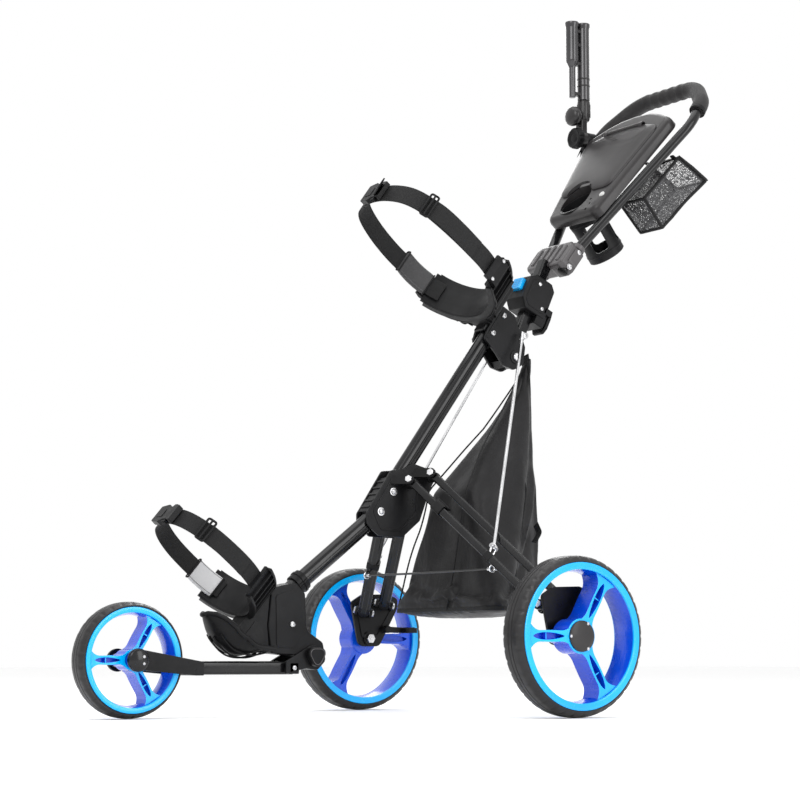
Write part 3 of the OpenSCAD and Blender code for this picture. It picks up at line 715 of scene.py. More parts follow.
p = Piece("centre_bracket_plates", "bracket_black")
plate = [on_main(*q) for q in ((-6, 22), (86, 26), (102, 8), (124, -2), (138, -36), (134, -56),
    (112, -58), (52, -74), (6, -62), (-22, -22), (-22, 10))]
pair(p, lambda: prism(plate, 0, 4.6, 1.0, 2, 7, 4), at=T(12.4, 0, 0) @ SIDE)
inner = [on_main(*q) for q in ((4, 14), (78, 17), (92, 2), (104, -30), (60, -60), (10, -50),
    (-12, -18))]
mid_y, mid_z = on_main(44, -20)
drawn_in = [(y + (mid_y - y) * 0.06, z + (mid_z - z) * 0.06) for y, z in inner]
pair(p, lambda: ring_prism(rounded(inner, 8), rounded(drawn_in, 8), 0, 1.4, 0.4),
    at=T(16.6, 0, 0) @ SIDE)
p.add(box((30, 76, 7), 2.2), at=slope(on_main(36, 18.5), MAIN_A))
for v in range(-28, 29, 14):
    p.add(box((26, 4, 2.4), 0.8), at=slope(on_main(36 + v, 22.6), MAIN_A))
p.add(box((30, 70, 6), 2.0), at=slope(on_main(36, -20), MAIN_A))
for q in (LEG_TOP, LEG_TOP + STEP):
    ears(p, q, 33, 14, "bracket_black")
p.build("frame", ["centre_bracket"])

p = Piece("centre_fasteners", "steel")
for sgn in (-1, 1):
    for s, n in ((14, 0), (58, 0)):
        p.add(socket_bolt(5.2, 4.2), at=facing(sgn, sgn * 17.0, *on_main(s, n)))
        p.add(disc(7.2, 1.2, 0.4, 28), at=facing(sgn, sgn * 16.6, *on_main(s, n)))
for flip in (Matrix(), MIRROR):
    hinge_pin(p, LEG_TOP, flip)
    hinge_pin(p, LEG_TOP + STEP, flip)
p.build("frame", ["centre_bolts"])

p = Piece("upper_bracket_plates", "bracket_black")
plate = [on_main(424, 17), on_main(480, 17), on_main(484, -14), (138, 660), (134, 628), (112, 616),
    (88, 622), on_main(400, -22), on_main(404, 10)]
pair(p, lambda: prism(plate, 0, 6, 1.2, 2, [6, 6, 5, 9, 9, 9, 9, 5, 5], 4), at=T(15, 0, 0) @ SIDE)
p.add(box((30, 52, 7), 2.2), at=slope(on_main(446, 18.6), MAIN_A))
pair(p, lambda: disc(13, 2.2, 0.9, 40), at=facing(1, 20.6, *PIVOT))
pad = [on_main(408, 12), on_main(470, 13), on_main(472, 6), on_main(410, 5)]
pair(p, lambda: prism(pad, 0, 1.6, 0.6), at=T(20.8, 0, 0) @ SIDE)
p.add(prism([(97, 638), (86, 632), (94, 619), (98, 622), (97.5, 630)], -15, 15, 1.5), at=SIDE)
p.add(prism([(103, 702), (119, 696), (127, 714), (108, 723)], -13, 13, 1.6), "gloss_grey", SIDE)
p.build("frame", ["upper_bracket"])

p = Piece("upper_fasteners", "steel")
for sgn in (-1, 1):
    for s in (424, 466):
        p.add(socket_bolt(5.4, 4.5), at=facing(sgn, sgn * 21.1, *on_main(s, 4)))
    p.add(socket_bolt(7.5, 4.5), at=facing(sgn, sgn * 22.6, *PIVOT))
p.add(tube(4, 0.6, 44, -22, 24), at=facing(1, 0, *PIVOT))
p.build("frame", ["upper_bolts"])


# ---------------------------------------------------------------- cradles and straps
def in_plane(path, wobble, seed):
    """A strap's path in its own plane, with a slow ripple across it."""
    ripple = [noise.noise(Vector((q[0] * 0.011 + seed, q[1] * 0.011, seed))) for q in path]
    return [Vector((q[0], q[1], wobble * z)) for q, z in zip(path, ripple)]


def slider(width, reach, piece, at):
    """Three-bar slide buckle; the strap runs along its X, its bars lie along Y."""
    w, l = reach / 2, width / 2
    frame_line = fillet([(-w, -l), (w, -l), (w, l), (-w, l)], 3.0, 4)
    piece.add(sweep(frame_line, circle(2.0, 10), normal=Vector((0, 0, 1)), closed=True),
        "plastic_black", at)
    piece.add(wire([(0, -l, 1.2), (0, 0, 1.6), (0, l, 1.2)], 1.9, 10), "plastic_black", at)


def snap_buckle(piece, at, w, l, h):
    """Side-release buckle: body, two prongs in its side windows, ribbed thumb pads. X along the strap."""
    half = [(-l / 2, -w * 0.42), (-l * 0.1, -w / 2), (l * 0.12, -w * 0.36), (l * 0.3, -w * 0.36),
        (l / 2, -w * 0.46)]
    body = half + [(x, -y) for x, y in reversed(half)]
    piece.add(prism(body, -h / 2, h / 2, 1.4, 3, 2.5, 3), "plastic_black", at)
    piece.add(prism(rect(l * 0.34, w * 0.44, 3), h / 2 - 0.6, h / 2 + 0.9, 0.6), "plastic_black",
        at @ T(-l * 0.2, 0, 0))
    for s in (-1, 1):
        shares = [(0.1, 0.34), (0.28, 0.34), (0.3, 0.44), (0.2, 0.5), (0.1, 0.46)]
        prong = [(l * x, s * w * y) for x, y in shares]
        piece.add(prism(prong, -h * 0.34, h * 0.34, 0.8), "plastic_black", at)
        for k in range(3):
            ridge = box((1.4, 3.0, h * 0.7), 0.4, at=(l * 0.16 + k * 3.2, s * w * 0.475, 0))
            piece.add(ridge, "plastic_black", at)
    for x in (-0.42, 0.44):
        bar = [(l * x, w * y, -h * 0.1) for y in (-0.38, 0, 0.38)]
        piece.add(wire(bar, 2.2, 10), "plastic_black", at)


def saddle(piece, r0, wall, half, low, flange, mat):
    """Curved trough that the golf bag lies in, in the plane of its strap."""
    mid = r0 + wall / 2
    edge = math.degrees(math.asin(low / mid))
    start, arc = 180 - edge, 180 + 2 * edge
    r1 = r0 + wall
    prof = [(r0, -half + 1.2), (r0 + 1.2, -half), (r1 - 1.2, -half), (r1, -half + 1.2), (r1, half - 1.2),
            (r1 - 1.2, half), (r0 + 1.2, half), (r0, half - 1.2), (r0 + 0.8, half * 0.5), (r0, half * 0.42),
            (r0, -half * 0.42), (r0 + 0.8, -half * 0.5)]
    piece.add(lathe(prof, 48, closed=True, arc=arc, start=start), mat)
    for z in (-half, half):
        prof = [(r0 + 0.6, z - 2.4), (r0 + flange - 1, z - 2.4), (r0 + flange, z - 1.4),
            (r0 + flange, z + 1.4), (r0 + flange - 1, z + 2.4), (r0 + 0.6, z + 2.4)]
        piece.add(lathe(prof, 48, closed=True, arc=arc - 8, start=start + 4), mat)
    steps = int(arc / 8)
    for k in range(1, steps):
        a = start + arc * k / steps
        rib = box((flange - wall + 2.0, 1.8, 2 * half - 3), 0.5, at=(r1 + (flange - wall) / 2 - 1.0, 0, 0))
        piece.add(rib, mat, R(a, "Z"))


# the upper strap's plane, square to the main tube, with its origin in the middle of the loop
UP = slope(on_main(468), MAIN_A + 90) @ T(0, 148, 0)
p = Piece("upper_cradle_saddle", "plastic_black")
saddle(p, 104.8, 7, 33, -42, 13, "plastic_black")
arc_in = [(111 * cosd(a), 111 * sind(a)) for a in range(-28, -153, -6)]
cheek = [(-101, -56), (-80, -90), (-50, -114), (-22, -131), (22, -131), (50, -114), (80, -90),
    (101, -56)] + arc_in
for z in (-32.6, 28.8):
    p.add(prism(cheek, z, z + 3.8, 0.9))
for s in (-1, 1):
    for x, y, r in ((44, -112, 9), (66, -98, 5)):
        p.add(tube(r, r - 1.8, 66, -33, 32, 0.5), at=T(s * x, y, 0))
    p.add(wire(catmull([(s * 96, -60, 33), (s * 74, -92, 33.4), (s * 44, -112, 33.6),
        (s * 14, -118, 33.4)], 6), 1.3, 8))
    p.add(wire([(s * 30, -127, 33.2), (s * 36, -116, 33.4), (s * 40, -106, 33.2)], 1.2, 8))
    p.add(wire([(s * 56, -109, 33.2), (s * 58, -100, 33.4), (s * 62, -93, 33.2)], 1.2, 8))
    # eye at the wing's tip, where the strap is pinned
    p.add(prism([(s * 96, -62), (s * 106, -58), (s * 111, -40), (s * 107, -28), (s * 101.5, -28),
        (s * 101, -46)], -25, 25, 1.2))
    for z in (-21, 21):
        p.add(rivet(3.4, 2.4), "steel", T(s * 111.2, -42, z) @ R(s * 90, "Y"))
p.add(prism([(-22, -131), (22, -131), (18, -108), (-18, -108)], -35, 35, 2.0))
for z in (-24, -8, 8, 24):
    p.add(box((44, 2.2, 2.2), 0.6, at=(0, -124, z)))
p.bm.transform(UP)
p.build("frame", ["upper_cradle"])


def strap(name, at, width, loop, tail, seeds, node):
    """Webbing loop with its folded tail on top, in the strap's plane."""
    s = Piece(name, "webbing")
    for path, thick, wobble, seed in ((loop, 2.4, 3.0, seeds[0]), (tail, 2.2, 2.0, seeds[1])):
        line_pts = in_plane(catmull(path, 7), wobble, seed)
        s.add(sweep(line_pts, strip(width, thick), normal=Vector((0, 0, 1))), at=at)
    s.build("frame", [node], weight=False)


up_curve = [(80, -62), (94, -40), (101.5, -14), (103.4, 14), (103.4, 52), (99, 98), (88, 132),
    (66, 160),
            (34, 176), (0, 181.4), (-34, 178), (-62, 168), (-82, 144), (-98, 102), (-103.4, 54),
            (-103.4, 12), (-101.5, -14), (-94, -40), (-80, -62)]
up_tail = [(106.2, 12), (106.4, 50), (102, 98), (93, 128)]
strap("upper_strap_webbing", UP, 38, up_curve, up_tail, (3.1, 5.0), "upper_strap")

p = Piece("upper_strap_buckles", "plastic_black")
snap_buckle(p, UP @ T(-4, 187.1, 0) @ R(-90, "X"), 44, 54, 9)
flap = rounded([(0, -15), (30, -12), (34, 0), (30, 12), (0, 15)], 4)
p.add(prism(flap, 0, 2.6, 0.8), at=UP @ T(8, 190, 0) @ R(-90, "X") @ R(-24, "Y"))
slider(46, 15, p, UP @ T(95.4, 128.7, 0) @ R(-62, "Z") @ R(-90, "X") @ T(0, 0, 0.6))
p.build("frame", ["upper_buckle"])


def sleeve(name, at, r, a0, a1, width, thick, mat, node, slot):
    """Padded sleeve on the strap, bound at both ends and stitched along its edges."""
    s = Piece(name, "thread")
    k = 26
    turns = [a0 + (a1 - a0) * i / k for i in range(k + 1)]
    path = [Vector((r * cosd(a), r * sind(a), 0)) for a in turns]
    sec = rect(width, thick, thick * 0.45, 5)

    def plump(t):
        return 1 - 0.04 * (2 * t - 1) ** 8, 0.72 + 0.28 * min(1, min(t, 1 - t) * 9) ** 0.6
    s.add(sweep(path, sec, normal=Vector((0, 0, 1)), scale=plump), mat, at)
    for z in (-width * 0.42, width * 0.42):
        for off in (-thick * 0.49, thick * 0.49):
            stitches = [Vector((v.x * (r + off) / r, v.y * (r + off) / r, z)) for v in path[1:-1]]
            s.add(wire(stitches, 0.55, 6), at=at)
    t, w = thick * 0.42, width * 0.49
    loop = fillet([(r - t, 0, -w), (r + t, 0, -w), (r + t, 0, w), (r - t, 0, w)], 2.4, 4)
    for a in (a0, a1):
        s.add(sweep(loop, circle(1.5, 8), normal=Vector((0, 1, 0)), closed=True), "webbing", at @ R(a, "Z"))
    s.build("frame", [node], slot, weight=False)


sleeve("upper_strap_sleeve", UP, 103.2, 163.5, 201.5, 46, 9.5, "sleeve_grey", "upper_pad",
    "sleeve_grey")

# the lower strap's plane, as above
LOW = slope((-424, 188), 49 + 90) @ T(0, 82, 0)
p = Piece("lower_cradle_scoop", "plastic_black")
saddle(p, 80.8, 7, 29, -30, 12, "plastic_black")
placed(p.bm, LOW)
web = prism([(-446, 186), (-402, 224), (-399.5, 212), (-405.4, 150), (-401, 106), (-432, 104),
    (-470, 114)], -20, 20, 1.5, 2, 4, 3)
p.add(tool_cut(placed(web, SIDE), placed(rod(84.8, -60, 60, 64), LOW)))
cheek = [(-438, 116), (-410, 112), (-412, 146), (-428, 158), (-448, 134)]
pair(p, lambda: prism(cheek, 0, 1.6, 0.6, 2, 5, 4), "bracket_black", T(19.6, 0, 0) @ SIDE)


SCOOP_LINE = catmull([(0, -404, 111), (0, -440, 101), (0, -472, 106), (0, -498, 129), (0, -516, 166)],
    6)
SCOOP_HALF, SCOOP_WALL = 42, 27.0


def scoop(u, v):
    """Tongue under the golf bag's foot: a dished strip with raised walls and a round end."""
    f = u * (len(SCOOP_LINE) - 1)
    i = min(int(f), len(SCOOP_LINE) - 2)
    c = SCOOP_LINE[i].lerp(SCOOP_LINE[i + 1], f - i)
    t = (SCOOP_LINE[i + 1] - SCOOP_LINE[i]).normalized()
    w = SCOOP_HALF * (1 if u < 0.72 else math.sqrt(max(0.0, 1 - ((u - 0.72) / 0.285) ** 2)))
    rise = SCOOP_WALL * abs(v) ** 2.4 * min(1, u * 2.5) * min(1.0, w / SCOOP_HALF)
    return Vector((v * max(w, 3), c.y, c.z)) + Vector((0, t.z, -t.y)) * rise


bm = new_bm()
nu, nv = 30, 22
grid = [[bm.verts.new(scoop(i / nu, -1 + 2 * j / nv)) for j in range(nv + 1)] for i in range(nu + 1)]
for i in range(nu):
    for j in range(nv):
        bm.faces.new((grid[i][j], grid[i + 1][j], grid[i + 1][j + 1], grid[i][j + 1]))
outward(bm)
edge_line = [scoop(i / nu, -1) for i in range(nu + 1)]
edge_line += [scoop(1, -1 + 2 * j / nv) for j in range(1, nv)]
edge_line += [scoop(i / nu, 1) for i in range(nu, -1, -1)]
bmesh.ops.solidify(bm, geom=bm.faces[:], thickness=4.0)
p.add(bm)
p.add(wire(edge_line, 4.2, 12))
for x in (-24, -8, 8, 24):
    p.add(wire([scoop(i / 20, x / SCOOP_HALF) + Vector((0, 1.5, -4.5)) for i in range(1, 17)], 1.6, 8))
p.build("frame", ["lower_cradle"])

low_curve = [(60, -51), (73, -29), (79, -4), (79.6, 22), (76, 56), (63, 90), (40, 113), (12, 123.6),
             (-16, 123.6), (-42, 114), (-62, 92), (-75, 60), (-79.6, 24), (-79, -4), (-73, -29), (-60, -51)]
low_tail = [(82, -2), (82.6, 22), (79, 56), (69, 84)]
strap("lower_strap_webbing", LOW, 32, low_curve, low_tail, (7.7, 9.0), "lower_strap")

p = Piece("lower_strap_buckles", "plastic_black")
snap_buckle(p, LOW @ T(-2, 129.6, 0) @ R(-90, "X"), 38, 58, 10)
slider(40, 15, p, LOW @ T(71.2, 88.5, 0) @ R(-58, "Z") @ R(-90, "X") @ T(0, 0, 0.6))
p.build("frame", ["lower_buckle"])
sleeve("lower_strap_sleeve", LOW, 79.4, 176, 214, 40, 8, "sleeve_pale", "lower_pad", "sleeve_grey")

p = Piece("front_housing_shell", "plastic_black")
shell = [(-398, 212), (-350, 222), (-332, 204), (-328, 142), (-296, 122), (-290, 92), (-306, 76),
    (-334, 80), (-346, 100), (-398, 104), (-404, 150)]
p.add(prism(shell, -21, 21, 3.0, 3, [6, 9, 9, 14, 9, 9, 8, 8, 10, 6, 8], 5), at=SIDE)
panel = [(-390, 200), (-354, 210), (-342, 198), (-338, 140), (-352, 112), (-388, 114)]
pair(p, lambda: prism(panel, 0, 1.8, 0.8, 2, 7, 4), at=T(20.4, 0, 0) @ SIDE)
pair(p, lambda: socket_bolt(5.2, 4.0), "steel", facing(1, 21.6, -358, 152))
p.add(sweep([yz(on_nose(196), 0), yz(on_nose(176), 0)], [(x * 1.3, y * 1.24) for x, y in oval()]))
p.add(sweep([yz(on_nose(186), 0), yz(on_nose(182), 0)], [(x * 1.42, y * 1.34) for x, y in oval()]))
p.build("frame", ["front_housing"])

p = Piece("front_pivot_caps", "steel")
p.add(tube(6, 1.0, 64, -32, 28), at=facing(1, 0, *FORK_PIVOT))
tri = rounded([(27 * cosd(a), 27 * sind(a)) for a in (90, 210, 330)], 9.5, 8)
for s in (-1, 1):
    a = facing(s, s * 26.6, *FORK_PIVOT) @ R(-90 * s, "Z")
    p.add(prism(tri, 0, 12.4, 2.4, 3), "plastic_black", a)
    outer, inner = ([(x * share, y * share) for x, y in tri] for share in (0.86, 0.8))
    p.add(ring_prism(outer, inner, 12, 13, 0.3), "clamp_grey", a)
p.build("frame", ["pivot_cap"], "plastic_black")


# ---------------------------------------------------------------- folding handle
def dense(path, step):
    """A polyline cut into pieces no longer than step."""
    out = [Vector(path[0])]
    for a, b in zip(path, path[1:]):
        a, b = Vector(a), Vector(b)
        k = max(1, int((b - a).length / step))
        out += [a.lerp(b, (i + 1) / k) for i in range(k)]
    return out


p = Piece("handle_post", "tube_black")
p.add(prism(rect(22, 22, 3.5, 4), -16, 206, 0.8), at=slope(PIVOT, POST_A) @ R(-90, "X"))
for n in (11, -11):
    p.add(box((6, 120, 0.8), 0.3), "bracket_black", slope(on_post(70, n), POST_A))
p.build("handle", ["handle_tube"])

p = Piece("rod_cross_pin", "steel")
p.add(tube(4, 0.6, 52, -26, 24), at=facing(1, 0, *on_post(44)))
for s in (-1, 1):
    p.add(socket_bolt(6.4, 3.6), at=facing(s, s * 24.6, *on_post(44)))
p.build("handle", ["rod_pin"])

# the plane of the bars: x across, y up the slope, z forward and up
CLAMP = slope(BARS, BAR_A)
p = Piece("bar_clamp_shell", "clamp_grey")
outline = [(-53, -14), (-45, -22), (-20, -22), (-14, -18), (14, -18), (20, -22), (45, -22), (53, -14),
    (53, 28), (43, 38), (-43, 38), (-53, 28)]
p.add(prism(outline, -14, 21, 5.0, 4, 5, 4), at=CLAMP)
for i in range(-2, 3):
    p.add(box((8, 48 if abs(i) < 2 else 40, 5), 2.2, 3, at=(i * 18, 8, 21)), at=CLAMP)
for s in (-1, 1):
    p.add(tube(13.5, 9.4, 10, -5, 40, 1.2), at=CLAMP @ T(s * 41, 36, 0) @ R(-90, "X"))
    p.add(prism([(s * 53, -8), (s * 56, -4), (s * 56, 22), (s * 53, 28), (s * 48, 28), (s * 48, -8)],
        -10, 10, 1.6), at=CLAMP)
p.build("handle", ["bar_clamp"], "gloss_grey")

p = Piece("clamp_fasteners", "steel")
for s in (-1, 1):
    for v in (-12, 24):
        p.add(socket_bolt(4.8, 3.8), at=CLAMP @ T(s * 53.4, v, 0) @ R(s * 90, "Y"))
        p.add(disc(5.8, 0.9, 0.3, 24), at=CLAMP @ T(s * 53.2, v, 0) @ R(s * 90, "Y"))
p.build("handle", ["clamp_screws"])

bar_half = [(41, -22), (41, 34), (147, 346), (136, 408), (82, REACH)]
bar_path = [(-x, v, 0) for x, v in bar_half] + [(x, v, 0) for x, v in reversed(bar_half)]
# radius of the bars' bends
BAR_BEND = 72
bar_line = dense(fillet(bar_path, BAR_BEND, 14, closed=False), 12)
p = Piece("handle_u_bar", "tube_black")
p.add(wire(bar_line, 9.5, 28), at=CLAMP)
for x in (-41, 41):
    p.add(disc(9.9, 2.4, 0.8, 28, 0, 1.0), "plastic_black", CLAMP @ T(x, -22, 0) @ R(90, "X"))
p.build("handle", ["handle_bars"])

grip_x = 147 - 11 * (380 - 346) / (408 - 346)
grip_path = [(-grip_x, 380, 0)] + bar_path[3:7] + [(grip_x, 380, 0)]
grip_line = dense(fillet(grip_path, BAR_BEND, 16, closed=False), 3.0)


def grip_swell(t):
    """Slightly waisted foam with shallow finger waves under the cross bar."""
    wave = 0.04 * math.sin(2 * math.pi * (t - 0.34) / 0.064) if 0.34 < t < 0.66 else 0.0
    end = 0.93 + 0.07 * min(1, min(t, 1 - t) * 40)
    return (end + wave, end + wave)


p = Piece("foam_handle_grip", "plastic_black")
p.add(sweep(grip_line, circle(15.3, 36), smooth_frames=True, normal=Vector((0, 0, 1)),
    scale=grip_swell), "foam_grip", CLAMP)
for k in (0, -1):
    a = CLAMP @ along(grip_line[k], grip_line[1 if k == 0 else -2])
    p.add(tube(15.6, 9.6, 9, 0, 40, 1.6), at=a)
    p.add(tube(14.8, 9.6, 3, 10.5, 40, 0.8), at=a)
p.build("handle", ["handle_grip"], "foam_grip", weight=False)

LOCK = slope(on_post(128), POST_A)
p = Piece("lock_housing_shell", "plastic_black")
prof = [(-35, -22), (-30, -27), (24, -27), (35, -16), (35, 22), (26, 33), (8, 35), (-20, 35), (-35, 22)]
body = prism(prof, -26, 26, 3.4, 3, 4, 3)
placed(body, SIDE)
pocket = box((28.8, 24.8, 60), 1.2, 2, at=(0, 8, 44))
p.add(tool_cut(body, pocket), at=LOCK)
# painted shade: a dark sheet at the floor of the button's pocket
p.add(box((27, 23, 1.2), 0.3, at=(0, 8, 16)), "recess_painted_shade", LOCK)
p.add(prism([(-22, -50), (22, -50), (24, -40), (24, -26), (-24, -26), (-24, -40)], -31, -9, 3.0, 3, 3,
    3), at=LOCK)
side_panel = [(-28, -20), (20, -21), (28, -12), (28, 16), (20, 26), (-18, 28), (-28, 18)]
pair(p, lambda: prism(side_panel, 0, 1.4, 0.6, 2, 5, 4), at=LOCK @ T(25.4, 0, 0) @ SIDE)
for s in (-1, 1):
    for u, v in ((-20, -12), (20, 10)):
        p.add(socket_bolt(3.6, 2.4), "steel", LOCK @ T(s * 26.6, u, v) @ R(s * 90, "Y"))
    p.add(prism([(-24, -38), (-12, -38), (-12, -18), (-24, -18)], -1.8, 1.8, 0.8),
        at=LOCK @ T(s * 24.2, 0, 0) @ SIDE)
p.build("handle", ["lock_housing"])

p = Piece("lock_release_button", "button_blue")
p.add(prism([(-13.6, -11.6), (13.6, -11.6), (12.6, 11.6), (-12.6, 11.6)], 24, 42.4, 2.0, 4, 2.5, 4),
    at=slope(on_post(136), POST_A))
for v in (-6, -2, 2, 6):
    p.add(box((17, 1.6, 1.2), 0.5, at=(0, v, 42.3)), at=slope(on_post(136), POST_A))
p.build("lock_button", ["lock_button"])

LEVER = slope(on_post(110, -32), POST_A)
p = Piece("lock_lever_wing", "plastic_black")
wing = [(-18, 8), (18, 8), (20, -6), (19.5, -26), (13, -36.5), (-13, -36.5), (-19.5, -26), (-20, -6)]
p.add(prism(wing, -12, -4.6, 2.4, 3, 3, 3), at=LEVER)
for v in (-31, -26, -21):
    p.add(box((24 if v < -30 else 30, 2.2, 1.8), 0.8, at=(0, v, -12.2)), at=LEVER)
p.add(pin(4.4, -22, 22, 0.4, 1, 24), at=LEVER @ R(90, "Y"))
p.add(pin(2.9, -25.8, 25.8, 0.3, 0.6), "steel", LEVER @ R(90, "Y"))
for s in (-1, 1):
    p.add(prism([(-8, -11), (6, -11), (5, 0), (0, 4), (-5, 0)], -2, 2, 0.8),
        at=LEVER @ T(s * 15, 0, 0) @ SIDE)
p.build("lock_lever", ["lock_lever"])


# ---------------------------------------------------------------- console, cup, net
def hull_line(circles, n):
    """Outline of the hull of some circles (x, y, r), anticlockwise."""
    turns = [2 * math.pi * i / n for i in range(n)]
    pts = [(x + r * math.cos(a), y + r * math.sin(a)) for x, y, r in circles for a in turns]
    pts = sorted({(round(x, 4), round(y, 4)) for x, y in pts})

    def turns_left(a, b, c):
        return (b[0] - a[0]) * (c[1] - a[1]) - (b[1] - a[1]) * (c[0] - a[0]) > 0

    def half(seq):
        out = []
        for q in seq:
            while len(out) > 1 and not turns_left(out[-2], out[-1], q):
                out.pop()
            out.append(q)
        return out[:-1]
    return half(pts) + half(reversed(pts))


def grown(circles, grow):
    """Hull of the circles, each point moved out by grow from the middle of its own circle."""
    out = []
    for x, y in hull_line(circles, 48):
        cx, cy, r = min(circles, key=lambda c: abs(math.hypot(x - c[0], y - c[1]) - c[2]))
        out.append((x + (x - cx) * grow / r, y + (y - cy) * grow / r))
    return out


def mirrored(circles):
    return [(s * x, y, r) for x, y, r in circles for s in (-1, 1)]


# foot, corners and arched top of the console, as circles (x, y, r)
CONSOLE_TILE = mirrored([(54, 120, 20), (98, 330, 22), (66, 340, 28), (34, 345, 34)]) + [(0, 342, 40)]


def shield(levels):
    """Closed shell through the console outline at each (height, grow)."""
    bm = new_bm()
    return skin(bm, [[bm.verts.new((x, y, z)) for x, y in grown(CONSOLE_TILE, g)] for z, g in levels])


# the cup leans back less than the console, and the round marker sits beside it
CUP = T(-12, 143, 22) @ R(38 - BAR_A, "X")
MARKER = T(66, 143, 0)
# the middle of the lid, up the slope
LID_V = 247.5
LID_TILE = mirrored([(57, 182, 19), (84, 306, 19), (52, 311, 24), (26, 312, 29)]) + [(0, 310, 32)]


def lid_outline(grow, share=1.0):
    """Arched outline of the lid, moved out by grow or drawn in about its middle by share."""
    return [(x * share, LID_V + (v - LID_V) * share) for x, v in grown(LID_TILE, grow)]


def cup_plug(r):
    return placed(rod(r, -160, 160, 72), CUP)


body = shield([(10.2, -0.6), (10.8, 0), (22, 0), (27, -1.2), (30.5, -3.4), (32.8, -6.6), (33.9, -11)])
skirt = shield([(6, -4.5), (24, -4.5), (28, -7), (30, -10)])
skirt = tool_cut(skirt, prism(lid_outline(3), 12, 60, 0))
skirt = tool_cut(skirt, cup_plug(39.2))
body = tool_cut(body, skirt)
body = tool_cut(body, tool_cut(prism(lid_outline(0.4), 15, 60, 0), cup_plug(39.2)))
body = tool_cut(body, cup_plug(36.6))
body = tool_cut(body, placed(rod(6.6, -10, 40, 40), MARKER @ T(0, 0, 20)))
for x, v in ((38, 137), (44, 124), (42, 110), (34, 97.5)):
    body = tool_cut(body, placed(rod(2.6, -12, 40), T(x, v, 20)))
p = Piece("console_shell", "plastic_grey")
p.add(body, at=CLAMP)
# painted shade: a dark disc closing the marker's hole, seen in the ring round the marker
p.add(placed(disc(7.2, 1.0, 0.3, 36), MARKER @ T(0, 0, 28.6)), "recess_painted_shade", CLAMP)
for s in (-1, 1):
    p.add(tube(6.2, 3.7, 10, -5, 28, 0.6), at=CLAMP @ T(s * 50.5, 333, 37.4) @ R(90, "Y"))
p.build("handle", ["console_body"])

lid_shape = [(31, 1), (35.6, 1), (36.9, 0.99), (38, 0.972), (39.2, 0.93), (40.6, 0.84), (41.6, 0.7),
    (42.2, 0.5), (42.4, 0.3)]
bm = new_bm()
skin(bm, [[bm.verts.new((x, v, z)) for x, v in lid_outline(0, k)] for z, k in lid_shape])
bm = tool_cut(bm, prism(lid_outline(-3), 25, 34.5, 0))
bm = tool_cut(bm, cup_plug(40.2))
p = Piece("console_lid_panel", "plastic_grey")
p.add(bm, at=CLAMP)
p.add(placed(pin(3.5, -45, 45, 0.3, 0.4, 24), T(0, 333, 40) @ R(90, "Y")), at=CLAMP)
p.add(wire([(-24, 300, 40.6), (0, 301, 41.0), (24, 300, 40.6)], 1.3, 8), "plastic_black", CLAMP)
p.add(prism(rect(9, 9, 2, 3), 0, 1.6, 0.5), "plastic_black", CLAMP @ T(74, 290, 38.2))
p.add(prism(rect(30, 8, 3.6, 4), 0, 2.2, 0.8), at=CLAMP @ T(0, LID_V - 70, 38.6))
p.build("console_lid", ["console_lid"])

p = Piece("round_ball_marker", "marker_white")
p.add(lathe([(0, 29.8), (5.6, 29.8), (6.0, 30.4), (6.0, 34.6), (5.4, 35.4), (4.4, 35.8), (0, 36.2)],
    40), at=CLAMP @ MARKER)
p.build("handle", ["ball_marker"])

p = Piece("cup_holder_basket", "plastic_black")
wall = lathe([(0, -112), (34.2, -112), (36, -110.4), (36, 2.4), (37.6, 3.4), (38.0, 5.0), (37.0, 6.0),
    (33.6, 6.0), (33.2, 4.6), (33.2, -107.6), (0, -107.6)], 72)
for k in range(4):
    cut = placed(prism(rect(28, 56, 7, 5), 24, 60, 0),
        R(45 + 90 * k, "Z") @ T(0, 0, -64) @ R(90, "X") @ R(90, "Y"))
    wall = tool_cut(wall, cut)
for k in range(6):
    wall = tool_cut(wall, placed(prism(rect(5, 26, 2.4, 4), -6, 6, 0),
        T(0, 0, -110) @ R(60 * k, "Z") @ T(0, 17, 0)))
p.add(wall, at=CLAMP @ CUP)
for z in (-30, -98):
    p.add(lathe([(35.8, z - 2), (36.7, z - 1.2), (36.7, z + 1.2), (35.8, z + 2)], 72), at=CLAMP @ CUP)
p.build("handle", ["cup_holder"])


def net_point(u, v):
    """Net pocket: u runs round its open rim, v from rim to foot. It sags and pulls in below."""
    rim = [Vector(q) for q in ((15.2, 447, 1041.5), (15.2, 516, 1004), (101, 516, 1004),
        (101, 447, 1041.5))]
    foot = [Vector(q) for q in ((24, 366, 953), (28, 414, 902), (90, 414, 902), (94, 366, 953))]
    k = (u * 4) % 4
    i = int(k)
    f = k - i
    top, low = (ring[i].lerp(ring[(i + 1) % 4], f) for ring in (rim, foot))
    q = top.lerp(low, v)
    c = Vector((58, 441 - 60 * v, 980 - 30 * v))
    sag = math.sin(math.pi * v) * 5.0 * noise.noise(Vector((u * 7, v * 3, 1.3)))
    pull = 2.2 * math.sin(math.pi * v) * math.sin(math.pi * 2 * f) ** 2
    return q + (c - q).normalized() * (abs(sag) + pull + 1.2)


bm = new_bm()
uvl = bm.loops.layers.uv["UVMap"]
